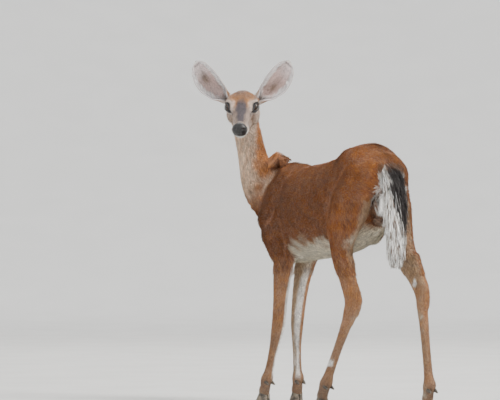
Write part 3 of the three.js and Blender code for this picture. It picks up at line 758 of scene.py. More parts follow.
NECK_STROKES = [
    Stroke(((352, 62, 760), (372, 108, 830), (368, 142, 930), (352, 158, 1000)), 13, -2.6),
    Stroke(((330, 110, 905), (330, 120, 930)), 12, 2.2),
]
HEAD_STROKES = [
    Stroke(((27, 37, -8), (36, 32, -14), (46, 28, -19)), 4.5, -2.0),  # slit of the gland before the eye
    Stroke(((30, 41, -12), (44, 37, -22), (62, 31, -30)), 8, 1.2),  # edge of the cheekbone before the eye
    Stroke(((-28, 58, -16), (0, 54, -22), (24, 44, -24)), 7, 2.0),  # cheekbone under the eye
    Stroke(((6, 52, -36), (20, 42, -46), (24, 34, -58)), 10, -2.6),  # front edge of the chewing muscle
    Stroke(((-26, 44, 30), (0, 43, 27), (22, 33, 16)), 8, 1.8),  # brow
    Stroke(((-40, 40, 26), (-30, 34, 34)), 11, -2.0),  # temple
    Stroke(((-20, 0, 40), (10, 0, 26), (40, 0, 12)), 8, -1.4),  # hollow of the forehead
    Stroke(((-78, 14, 44), (-50, 22, 42)), 14, 2.2),  # frontal swelling
    Stroke(((60, 22, -14), (96, 18, -22), (122, 16, -24)), 7, -1.2),  # side of the nose bone
    Stroke(((133, 25, -32), (128, 27, -42), (118, 29, -47)), 5.5, 1.8),  # pad of the upper lip
    Stroke(
        ((153, 4, -51), (146, 15, -53.5), (134, 22, -55), (116, 25, -58), (92, 25, -59), (74, 26, -57)), 2.0, -2.2
    ),
    Stroke(((70, 26, -56), (60, 28, -54)), 6, 1.2),  # corner of the mouth
    Stroke(((157, 0, -36), (155, 0, -50)), 1.4, -1.2),  # groove under the nose
    Stroke(((122, 23, -18), (131, 24, -26), (133, 24, -36)), 3.0, -1.0),  # edge of the bare nose
]
NOSTRILS = [((151, 11, -33), 3.6, -6.0), ((147.5, 15, -34), 3.4, -6.0), ((144, 18, -37), 2.6, -4.5)]
NOSTRIL_STROKES = [Stroke((at,), wide, high) for at, wide, high in NOSTRILS]
NOSTRIL_RIM = [Stroke(((153, 9, -28), (147, 17, -28), (141, 21.5, -33)), 3.2, 1.3)]


@dataclass(frozen=True)
class Lids:
    """How the lids open, in millimetres in the plane of the eye."""

    half_width: float = 15.2
    half_height: float = 11.4
    thick: float = 1.5
    upper_share: float = 1.05  # how far the upper lid stands off the middle, against the half height
    lower_share: float = 0.92


LIDS = Lids()


def eye_axes(side: Side) -> Array:
    """The eye's frame in the head's: rows for along the lids towards the nose, up, and out of the eye."""
    outward, upward = math.radians(EYE_OUTWARD), math.radians(EYE_UPWARD)
    out = np.array(
        [math.cos(upward) * math.cos(outward), math.cos(upward) * math.sin(outward) * side.value, math.sin(upward)]
    )
    towards_nose = np.array([1.0, 0.0, -0.24])
    along = unit(towards_nose - out * dot(towards_nose, out))
    up = unit(np.cross(out, along)) * (-side.value)
    return np.stack([along, up * np.sign(up[2]), out])


def eye_centre(side: Side) -> Array:
    """The middle of the eyeball in the head's frame."""
    return EYE_AT * [1, side.value, 1]


def lid_place(points: Array, side: Side) -> tuple[Array, Array, Array, Array]:
    """Where points of the head lie about the opening of the lids.

    Args:
        points: in the head's frame.
        side: which eye.

    Returns:
        share of the opening's half size (one at its edge), offset along the lids, offset upwards, and outwards.
    """
    q = (points - eye_centre(side)) @ eye_axes(side).T
    along, up, out = q[:, 0], q[:, 1], q[:, 2]
    reach = np.clip(np.abs(along) / LIDS.half_width, 0, 1.6)
    taper = np.where(reach < 1, np.sqrt(np.clip(1 - reach**2.3, 0.05, 1)), 0.22)
    tall = LIDS.half_height * (np.where(up > 0, LIDS.upper_share, LIDS.lower_share) * taper)
    share = np.maximum(np.abs(up) / tall, reach) * 0.5 + 0.5 * np.sqrt((up / LIDS.half_height) ** 2 + reach**2)
    return np.where(out > 0, share, 9.0), along, up, out


class Skin:
    """One skin over the whole of her: remeshed from the frame's flesh, drawn onto the form and then modelled."""

    VOXEL = 0.0072  # in the frame's metres
    HEAD_REACH = 175  # from the middle of the skull

    def __init__(self, form: Form, nodes: dict[str, bpy.types.Object]) -> None:
        """Sorts the frame's nodes into flesh and the rest."""
        self.form, self.nodes = form, nodes
        apart = ("eye", "ear", "hoof", "dewclaw")
        self.flesh = [n for n in sorted(nodes) if not any(word in n for word in apart)]
        self.replaced = self.flesh + ["ear_left", "ear_right"]

    def build(self) -> bpy.types.Object:
        """Makes the finished skin.

        Returns:
            The skin's object, with a smooth surface.
        """
        skin = self.joined_copies()
        apply_modifier(skin, "DISPLACE", strength=0.006, mid_level=0.0)
        for rounds in (5, 3):
            apply_modifier(skin, "REMESH", mode="VOXEL", voxel_size=self.VOXEL, use_smooth_shade=True)
            self.keep_outside(skin)
            for _ in range(rounds):
                self.settle(skin, 1, 0.8)
                apply_modifier(skin, "SMOOTH", factor=0.5, iterations=2)
        self.settle(skin, 2)
        for reach in (self.on_face, self.on_front, self.near_features):
            self.refine(skin, reach)
            self.settle(skin, 2)
        self.model(skin)
        return skin

    def joined_copies(self) -> bpy.types.Object:
        """Copies of the flesh as one object, the tail slimmed to its core and the eye sockets filled."""
        copies = []
        for name in self.flesh:
            copy = self.nodes[name].copy()
            copy.data = self.nodes[name].data.copy()
            for key in list(copy.keys()):
                del copy[key]
            copy.parent = None
            bpy.context.scene.collection.objects.link(copy)
            if name == "tail":
                self.slim(copy)
            copies.append(copy)
        copies += [self.socket_filler(side) for side in Side]
        copies += [self.stuffing(region) for region in self.form.lines if region not in (Region.HEAD, Region.TAIL)]
        pick_only(*copies)
        bpy.ops.object.join()
        skin = bpy.context.view_layer.objects.active
        skin.name = skin.data.name = "skin"
        with editing(skin):
            bpy.ops.mesh.select_all(action="SELECT")
            bpy.ops.mesh.remove_doubles(threshold=1e-5)
        skin.data.materials.clear()
        return skin

    @staticmethod
    def keep_outside(skin: bpy.types.Object) -> None:
        """Removes whatever isn't joined to the outermost point, such as the walls of gaps between nodes."""
        foremost = int(points_of(skin)[:, 0].argmax())
        with editing(skin):
            bpy.ops.mesh.select_mode(type="VERT")
            bpy.ops.mesh.select_all(action="DESELECT")
        skin.data.vertices[foremost].select = True
        with editing(skin):
            bpy.ops.mesh.select_linked()
            bpy.ops.mesh.select_all(action="INVERT")
            bpy.ops.mesh.delete(type="VERT")

    def slim(self, tail: bpy.types.Object) -> None:
        """Draws the haired tail in to the tail's flesh."""
        points = points_of(tail)
        line = self.form.lines[Region.TAIL]
        i, t, _ = line.nearest(points)
        middle = line.at[i] * (1 - t[:, None]) + line.at[i + 1] * t[:, None]
        share = np.interp(i + t, np.linspace(0, len(line.at) - 1, len(TAIL_CORE)), TAIL_CORE)
        move_points(tail, middle + (points - middle) * share[:, None])

    @staticmethod
    def socket_filler(side: Side) -> bpy.types.Object:
        """A ball the size of the mound round an eye."""
        bpy.ops.mesh.primitive_uv_sphere_add(segments=24, ring_count=12)
        ball = bpy.context.active_object
        mound = read(ball.data.vertices, "co") * [25, 19, 20] + [2, 41 * side.value, 1]
        move_points(ball, on_head(mound))
        return ball

    def stuffing(self, region: Region) -> bpy.types.Object:
        """A plain tube along one region's line, which closes the gaps between the nodes that meet there."""
        line, around = self.form.lines[region], 24
        kept = line.at[:, 2] > 60
        angle = -2 * math.pi * np.arange(around) / around
        rise = line.rise[:, None] * (line.depth[:, None, None] - 4) * np.cos(angle)[None, :, None]
        side = line.side[:, None] * (line.width[:, None, None] - 4) * np.sin(angle)[None, :, None]
        rows = (line.at[:, None] + rise + side)[kept].reshape(-1, 3)
        filler = mesh_object("stuffing", rows, ringed_faces(int(kept.sum()), around))
        close_ends(filler)
        return filler

    @staticmethod
    def on_face(points: Array) -> Array:
        """Which points lie on the head."""
        q = in_head(points)
        return (q[:, 0] + 0.5 * q[:, 2] > -78) & (q[:, 2] > -95) & (np.linalg.norm(q, axis=1) < Skin.HEAD_REACH)

    @staticmethod
    def on_front(points: Array) -> Array:
        """Which points lie in front of the cheeks."""
        q = in_head(points)
        return (q[:, 0] > -28) & (q[:, 2] > -84) & (np.linalg.norm(q, axis=1) < Skin.HEAD_REACH)

    @staticmethod
    def near_features(points: Array) -> Array:
        """Which points lie near the eyes, the nose or the mouth."""
        q = in_head(points)
        muzzle = (q[:, 0] > 108) | ((q[:, 0] > 66) & (np.abs(q[:, 2] + 57) < 7))
        eyes = [np.linalg.norm(q - eye_centre(s) - [7, 0, -3], axis=1) < 34 for s in Side]
        return (muzzle & (np.linalg.norm(q, axis=1) < Skin.HEAD_REACH)) | eyes[0] | eyes[1]

    def refine(self, skin: bpy.types.Object, reach: Callable[[Array], Array]) -> None:
        """Divides each face of a region in four."""
        mesh = skin.data
        inside = reach(points_of(skin))
        with editing(skin):
            bpy.ops.mesh.select_mode(type="FACE")
            bpy.ops.mesh.select_all(action="DESELECT")
        corners = read(mesh.loops, "vertex_index", 1, np.int32).ravel()
        start = read(mesh.polygons, "loop_start", 1, np.int32).ravel()
        chosen = np.maximum.reduceat(inside[corners].astype(int), start) > 0
        mesh.polygons.foreach_set("select", chosen)
        with editing(skin):
            bpy.ops.mesh.subdivide(number_cuts=1)

    def settle(self, skin: bpy.types.Object, rounds: int, share: float = 0.92) -> None:
        """Draws every vertex along its normal by a share of its way to the skin's own surface."""
        for _ in range(rounds):
            points, normals = points_of(skin), normals_of(skin)
            here = self.form.skin(points)
            steepness = np.clip(self.form.skin(points + normals) - here, 0.7, 4)
            move_points(skin, points - normals * np.clip(here / steepness, -6, 6)[:, None] * share)

    def model(self, skin: bpy.types.Object) -> None:
        """Presses muscles, folds, tendons, lids, nostrils and mouth into the skin."""
        points, normals = points_of(skin), normals_of(skin)
        lift = np.zeros(len(points))
        for stroke in [*BODY_STROKES, *RIB_STROKES]:
            lift += stroke.lift(points) + stroke.mirrored().lift(points)
        for stroke in NECK_STROKES:
            lift += stroke.lift(points)
        lift += self.tendons(points, normals)
        q = in_head(points)
        for stroke in [*HEAD_STROKES, *NOSTRIL_STROKES, *NOSTRIL_RIM]:
            lift += stroke.lift(q) + (stroke.mirrored().lift(q) if any(p[1] for p in stroke.line) else 0)
        points = points + normals * np.clip(lift, -9, 5)[:, None]
        for side in Side:
            points = self.open_lids(points, side)
        move_points(skin, points)

    def tendons(self, points: Array, normals: Array) -> Array:
        """Grooves between bone and tendon down each cannon, and the hollows above each hock."""
        lift = np.zeros(len(points))
        low = points[:, 2] < 480
        for leg in LEGS:
            o = self.form.lines[leg].offsets(points[low])
            near = ease(60, 40, np.hypot(o["rise"], o["side"]))
            angle = np.degrees(np.arctan2(o["rise"], np.abs(o["side"])))
            hind = leg in HIND_LEGS
            z = points[low][:, 2]
            back = self.back_angle(o)
            cannon = ease(90, 125, z) * ease(300 if hind else 255, 230, z)
            lift[low] += near * cannon * (-2.6 * bump(angle, back, 15))
            if hind:
                lift[low] += near * ease(350, 385, z) * ease(475, 440, z) * (-4.5 * bump(angle, back * 0.2, 20))
            knuckle = 1.4 * bump(z, 88, 14) - 1.6 * bump(z, 62, 9)
            lift[low] += near * knuckle
        return lift

    @staticmethod
    def back_angle(offsets: dict[str, Array]) -> Array:
        """The angle about the leg at which the tendon's groove runs."""
        return np.sign(offsets["up"][:, 0]) * -26.0

    @staticmethod
    def open_lids(points: Array, side: Side) -> Array:
        """Folds the skin round an eyeball: a hollow behind it, thin rims, a crease above and a bag below."""
        q = in_head(points)
        near = np.linalg.norm(q - eye_centre(side), axis=1) < 46
        share, along, up, out = lid_place(q[near], side)
        axes, centre = eye_axes(side), eye_centre(side)
        local = (q[near] - centre) @ axes.T
        far = np.linalg.norm(local, axis=1)
        way = local / far[:, None]
        inside = share < 1
        behind = EYE_RADIUS - 3.0
        rim = EYE_RADIUS + LIDS.thick
        over = ease(2.3, 1.0, share)
        held = far * (1 - over) + np.minimum(far, rim + 5.5 * ease(1.0, 1.9, share)) * over
        held = np.maximum(held, np.where(share < 3, rim * ease(3, 1.2, share), 0))
        upper = np.where(up > 0, 1.0, 0.0)
        held += upper * (-1.5 * bump(share, 1.62, 0.13) + 1.0 * bump(share, 1.28, 0.18))
        held += (1 - upper) * (-1.1 * bump(share, 1.7, 0.16) + 0.7 * bump(share, 1.4, 0.2))
        canthus = bump(along, LIDS.half_width + 3.5, 4.0) * bump(up, -1.5, 2.6)
        held -= canthus * 2.6
        held = np.where(inside, behind + (rim - behind) * ease(0.9, 1.0, share), held)
        made = way * held[:, None]
        blend = ease(3.0, 2.0, share)[:, None]
        q[near] = centre + (local * (1 - blend) + made * blend) @ axes
        result = points.copy()
        result[near] = on_head(q[near])
        return result


# ---------------------------------------------------------------- ears


@dataclass
class Ear:
    """One ear: a thin cup that opens forwards, its back and its hollow meeting at the rim."""

    side: Side
    rows: int = 46
    columns: int = 26
    inset: float = 1.3  # depth of the coat on each face
    wall: float = 2.4
    base: tuple[float, float, float] = (-62, 46, -2)
    tip: tuple[float, float, float] = (-86, 170, 141)
    opening: tuple[float, float, float] = (0.95, 0.12, 0.1)
    bow: float = 11.0
    # Along the ear: share of its length, half width across the opening, half angle of the cup in degrees.
    shape: tuple[tuple[float, float, float], ...] = (
        (0, 20, 160),
        (0.14, 25, 118),
        (0.3, 38, 80),
        (0.5, 47, 62),
        (0.68, 46, 56),
        (0.84, 37, 52),
        (0.94, 23, 48),
        (0.985, 11, 42),
        (1, 2.5, 40),
    )

    def __post_init__(self) -> None:
        """Sets up the ear's own frame."""
        s = self.side.value
        flip = np.array([1, s, 1])
        self.root, self.end = on_head(np.array(self.base) * flip), on_head(np.array(self.tip) * flip)
        self.axis = unit(self.end - self.root)
        facing = HEAD_TURN @ (np.array(self.opening) * flip)
        self.facing = unit(facing - self.axis * (facing @ self.axis))
        self.across = np.cross(self.axis, self.facing)

    def sizes(self, share: Array) -> tuple[Array, Array]:
        """Half width and half angle at shares of the length, eased between the rows of the shape."""
        rows = np.array(self.shape)
        i = np.clip(np.searchsorted(rows[:, 0], share) - 1, 0, len(rows) - 2)
        low, high = rows[i], rows[i + 1]
        t = (share - low[:, 0]) / (high[:, 0] - low[:, 0])
        t = (t * t * (3 - 2 * t)) * 0.5 + t * 0.5
        return low[:, 1] + (high[:, 1] - low[:, 1]) * t, np.radians(low[:, 2] + (high[:, 2] - low[:, 2]) * t)

    def surface(self, share: Array, swing: Array, inner: Array) -> tuple[Array, Array]:
        """Points of the ear's skin.

        Args:
            share: along the ear, from root to tip.
            swing: across it, from -1 to 1.
            inner: nought on the back, one in the hollow.

        Returns:
            the points and their outward normals.
        """
        wide, cup = self.sizes(share)
        outer = np.where(cup < math.pi / 2, wide / np.sin(np.minimum(cup, math.pi / 2)), wide)
        hollow = ease(0.02, 0.26, share)
        depth = (outer * 0.12) * (1 - hollow) + (outer - self.inset - self.wall) * hollow
        narrow = 1 - 0.03 * inner
        angle = swing * cup * narrow * 0.97
        radius = (outer - self.inset) * (1 - inner) + depth * inner
        radius = radius + self.folds(share, swing) * inner * hollow
        middle = self.root + np.outer(share, self.end - self.root)
        middle = middle + np.outer(outer * 0.5 * (1 + np.cos(cup)), self.facing)
        middle = middle + np.outer(self.side.value * self.bow * np.sin(math.pi * share), self.across)
        way = np.outer(np.sin(angle), self.across) - np.outer(np.cos(angle), self.facing)
        return middle + way * radius[:, None], way * (1 - 2 * inner)[:, None]

    def folds(self, share: Array, swing: Array) -> Array:
        """Ridges of gristle that run up the hollow and fade towards the tip."""
        fade = ease(0.1, 0.25, share) * ease(0.85, 0.5, share)
        ridges = bump(swing, -0.34 * self.side.value, 0.1) + bump(swing, 0.05, 0.09)
        return -1.8 * fade * (ridges + 0.7 * bump(swing, 0.42 * self.side.value, 0.09))

    def build(self) -> bpy.types.Object:
        """The ear as one closed shell; share, swing and face of its points are kept in places.

        Returns:
            The shell's object.
        """
        shares = np.sin(np.linspace(0, math.pi / 2, self.rows)) ** 0.95
        swings = np.linspace(-1, 1, self.columns)
        loop_swing = np.concatenate([swings, swings[::-1]])
        loop_inner = np.concatenate([np.zeros(self.columns), np.ones(self.columns)])
        self.places = (
            np.repeat(shares, len(loop_swing)),
            np.tile(loop_swing, self.rows),
            np.tile(loop_inner, self.rows),
        )
        points, _ = self.surface(*self.places)
        around = len(loop_swing)
        faces = ringed_faces(self.rows, around)
        made = mesh_object(f"ear_shell_{self.side.name.lower()}", points, faces)
        close_ends(made)
        return made


# ---------------------------------------------------------------- eyes


@dataclass
class Eye:
    """One eyeball: a dark globe with a slightly fuller cornea."""

    side: Side
    radius: float = EYE_RADIUS - 0.35
    cornea: float = 1.1
    cornea_reach: float = 13.0

    def build(self) -> bpy.types.Object:
        """The eyeball, with its own place about the line of sight stored on it.

        Returns:
            The eyeball's object.
        """
        bpy.ops.mesh.primitive_uv_sphere_add(segments=64, ring_count=40)
        ball = bpy.context.active_object
        ball.name = ball.data.name = f"eyeball_{self.side.name.lower()}"
        q = unit(read(ball.data.vertices, "co").astype(float))
        off = np.hypot(q[:, 0], q[:, 1]) * self.radius
        bulge = np.where(q[:, 2] > 0, self.cornea * ease(self.cornea_reach, 2.0, off), 0)
        local = q * (self.radius + bulge)[:, None]
        move_points(ball, on_head(eye_centre(self.side) + local @ eye_axes(self.side)))
        put_value(ball, "gaze", q * 0.5 + 0.5)
        with editing(ball):
            bpy.ops.mesh.select_all(action="SELECT")
            bpy.ops.mesh.normals_make_consistent(inside=False)
        bpy.ops.object.shade_smooth()
        return ball


# ---------------------------------------------------------------- hooves and dewclaws


@dataclass
class Hoof:
    """One claw of a cloven hoof: a wall of horn that leans back from a pointed sole."""

    leg: Region
    side: Side
    heel: float = -28.0
    toe: float = 35.0
    width: float = 20.0
    cleft: float = 1.5
    lean: float = 0.72
    around: int = 40
    rings: int = 14
    sole_bevel: float = 1.2
    tuck: float = 5.0  # how far the wall runs up under the hair

    def ring(self, level: Array, height: float) -> Array:
        """Points of one ring, from the toe round the outer wall.

        Args:
            level: heights of the ring's points.
            height: the share of the way up the wall.
        """
        angle = 2 * math.pi * np.arange(self.around) / self.around
        toe, heel = self.toe - self.lean * level, self.heel + 0.12 * level
        along = heel + (toe - heel) * (1 + np.cos(angle)) / 2
        wide = self.width * (1 - 0.004 * level) * (1 - 0.04 * math.sin(math.pi * height))
        outwards = np.where(np.sin(angle) > 0, wide * np.abs(np.sin(angle)) ** 0.8, 0)
        inwards = 0.6 * np.minimum(0, np.sin(angle))
        return np.stack([along, self.side.value * (self.cleft + outwards - inwards), level], 1)

    def build(self) -> bpy.types.Object:
        """The claw, with the height up its wall stored on it.

        Returns:
            The claw's object.
        """
        slope = math.tan(Form.FOOT_SLOPE)
        rows, heights = [], []
        for i, share in enumerate(np.linspace(0, 1, self.rings)):
            level = np.full(self.around, 0.0)
            for _ in range(6):
                x = self.ring(level, share)[:, 0]
                level = share * (19 + (x + 22) * slope + self.tuck)
            ring = self.ring(level, share)
            if i == 0:
                middle = ring.mean(0)
                ring = middle + (ring - middle) * (1 - self.sole_bevel / self.width)
                ring[:, 2] = 0
            rows.append(ring)
            heights.append(np.full(self.around, share))
        rows.insert(1, rows[1] * [1, 1, 0] * 0.06 + rows[0] * [0.94, 0.94, 0] + [0, 0, self.sole_bevel * 0.8])
        heights.insert(1, heights[0])
        x, y, yaw = FEET[self.leg]
        points = np.vstack(rows) @ rotation(yaw, 0).T + [x, y, 0]
        name = f"{self.leg.name.lower()}_claw_{self.side.name.lower()}"
        made = mesh_object(name, points, ringed_faces(len(rows), self.around))
        put_value(made, "height", np.concatenate(heights))
        close_ends(made)
        return made


@dataclass
class Dewclaw:
    """One of the two small claws behind a fetlock: a blunt flattened cone."""

    leg: Region
    side: Side
    height: float = 66.0
    behind: float = 24.0
    apart: float = 13.0
    length: float = 24.0
    radius: float = 7.2
    lean: float = 25.0
    around: int = 20
    rings: int = 9

    def build(self, form: Form) -> bpy.types.Object:
        """The dewclaw, with the height along it stored on it.

        Args:
            form: gives the fetlock's place.

        Returns:
            The dewclaw's object.
        """
        share = np.linspace(0, 1, self.rings)
        thick = self.radius * np.sqrt(np.clip(1 - (share * 0.985) ** 2.2, 0, 1)) * (1 - 0.35 * share)
        angle = -2 * math.pi * np.arange(self.around) / self.around
        rows = [
            np.stack([np.full(self.around, -(s - 0.5) * self.length), t * np.cos(angle), t * 0.85 * np.sin(angle)], 1)
            for s, t in zip(share, thick)
        ]
        place = [-self.behind, self.side.value * self.apart, self.height]
        turned = np.vstack(rows) @ rotation(0, -self.lean).T + place
        line = form.lines[self.leg]
        at = line.at[np.abs(line.at[:, 2] - self.height - 8).argmin()]
        points = turned @ rotation(FEET[self.leg][2], 0).T + [at[0], at[1], 0]
        name = f"{self.leg.name.lower()}_dewclaw_horn_{self.side.name.lower()}"
        made = mesh_object(name, points, ringed_faces(self.rings, self.around))
        put_value(made, "height", np.repeat(1 - share, self.around))
        close_ends(made)
        return made


# ---------------------------------------------------------------- the lie of the coat


@dataclass
class Spots:
    """Places on the skin with all that the coat needs to know of them. Every field has one row for each place."""

    at: Array
    normal: Array
    lie: Array
    region: Array
    share: Array  # along the region's own line
    swing: Array  # round it, from 0 to 1
    comb: Array  # place about the line, drawn short along it, for patterns that follow the hair
    nape: Array  # how far the skin faces the crest of the neck, from -1 on the throat to 1
    neck: Array  # how much the place belongs to neck and head

    def take(self, chosen: Array) -> "Spots":
        """Some of the places."""
        return Spots(*(getattr(self, name)[chosen] for name in self.__dataclass_fields__))


class Lie:
    """Which way the hair runs, from the lines that the body is built on."""

    WIDTH = 13.0  # how softly one region's run gives way to the next's
    DRAWN = 0.14  # how far the comb pattern is drawn out along the hair

    def __init__(self, form: Form) -> None:
        """Keeps the lines and draws the pattern by which the hair wanders."""
        self.form = form
        self.wander = Ripple(85, 1), Ripple(26, 2)

    @staticmethod
    def way(region: Region, o: dict[str, Array], points: Array) -> Array:
        """The run of the hair in one region, before it is laid on the skin."""
        if region is Region.TRUNK:
            down = np.interp(np.abs(points[:, 1]), [0, 60, 110], [0.0, -0.3, -0.5])
            return np.stack([np.full(len(points), -1.0), 0 * down, down], 1)
        if region is Region.NECK:
            return -o["axis"] + [0, 0, -0.15]
        if region is Region.HEAD:
            q = in_head(points)
            local = np.stack([np.full(len(q), -1.0), q[:, 1] * 0.008, -0.12 + 0.006 * q[:, 2]], 1)
            return local @ HEAD_TURN.T
        if region is Region.TAIL:
            sideways = np.sign(points[:, 1]) * ease(4, 22, np.abs(points[:, 1]))
            return o["axis"] + np.outer(sideways, [0, 0.3, 0])
        back = ease(420, 700, points[:, 2])[:, None] * [-0.75, 0, 0]
        return o["axis"] + back

    def spots(self, points: Array, normals: Array) -> Spots:
        """Everything about places on the skin.

        Args:
            points: the places, in the doe's millimetres.
            normals: the skin's normals there.

        Returns:
            The places with the run of the hair laid on the skin.
        """
        count = len(points)
        least, weight, lie, comb = np.full(count, 1e9), np.zeros(count), np.zeros((count, 3)), np.zeros((count, 3))
        region, share, swing = np.zeros(count, int), np.zeros(count), np.zeros(count)
        nape, neck = np.zeros(count), np.zeros(count)
        for part, line in self.form.lines.items():
            near = np.linalg.norm(points - line.centre, axis=1) < line.radius + 60
            if part in LEGS:
                near &= points[:, 2] < 720
            p = points[near]
            o = line.offsets(p)
            small = np.minimum(o["depth"], o["width"])
            away = ellipsoid_distance(o["rise"], o["side"], o["past"], o["depth"], o["width"], small)
            if part in LEGS:
                away = away + 26 * ease(500, 640, p[:, 2])
            if part is Region.TAIL:
                away = away + 30 * ease(-352, -330, p[:, 0]) + np.where(p[:, 2] > 846, 40, 0)
            strength = np.exp(-np.clip(away, -60, 200) / self.WIDTH)
            if part is Region.NECK:
                nape[near] = dot(normals[near], o["up"])
            if part in (Region.NECK, Region.HEAD):
                neck[near] += strength
            lie[near] += unit(self.way(part, o, p)) * strength[:, None]
            comb[near] += np.stack([o["side"], o["rise"], o["run"] * self.DRAWN], 1) * strength[:, None]
            weight[near] += strength
            angle = np.arctan2(o["side"] / o["width"], o["rise"] / o["depth"])
            closer = away < least[near]
            rows = np.flatnonzero(near)[closer]
            least[rows] = away[closer]
            region[rows] = part.value
            share[rows], swing[rows] = o["share"][closer], angle[closer] / (2 * math.pi) + 0.5
        weight = np.maximum(weight, 1e-9)[:, None]
        neck = neck / weight[:, 0]
        lie = self.lay(lie / weight, normals)
        turn = np.radians(9 * self.wander[0].at(points) + 7 * self.wander[1].at(points))
        aside = np.cross(normals, lie)
        lie = lie * np.cos(turn)[:, None] + aside * np.sin(turn)[:, None]
        return Spots(points, normals, lie, region, share, swing, comb / weight / 1000, nape, neck)

    @staticmethod
    def lay(ways: Array, normals: Array) -> Array:
        """Directions laid flat on the skin."""
        return unit(ways - normals * dot(ways, normals)[:, None] + 1e-6)


# ---------------------------------------------------------------- markings


def srgb(red: int, green: int, blue: int) -> Array:
    """A colour from its screen values, in linear light."""
    c = np.array([red, green, blue]) / 255
    return np.where(c <= 0.04045, c / 12.92, ((c + 0.055) / 1.055) ** 2.4)


class Palette:
    """Her summer colours."""

    # back and haunch are partly painted highlight and flank partly painted shade, besides their own tones
    back = srgb(152, 97, 58)
    flank = srgb(124, 76, 44)
    haunch = srgb(156, 97, 56)
    spine = srgb(108, 70, 44)
    belly = srgb(222, 212, 190)
    inner_leg = srgb(174, 150, 122)
    # painted shade: grey-buff standing for white hair in the shaded cleft below the tail
    cleft = srgb(150, 118, 98)
    shin = srgb(168, 120, 82)
    shank = srgb(150, 112, 82)
    pastern = srgb(132, 102, 80)
    throat = srgb(232, 204, 178)
    nape = srgb(190, 128, 82)
    forehead = srgb(152, 106, 68)
    crown = srgb(116, 77, 52)
    brow = srgb(200, 140, 85)
    blaze = srgb(72, 66, 74)
    cheek = srgb(172, 148, 134)
    eye_ring = srgb(226, 212, 202)
    white = srgb(246, 243, 238)
    bare = srgb(24, 21, 23)
    tail_stripe = srgb(38, 31, 30)
    tail_root = srgb(122, 86, 62)
    tail_grey = srgb(120, 105, 95)
    ear_back = srgb(138, 106, 84)
    ear_hollow = srgb(214, 186, 180)
    # painted shade for the hollow of the ear
    ear_shade = srgb(112, 92, 72)
    ear_hair = srgb(238, 232, 234)


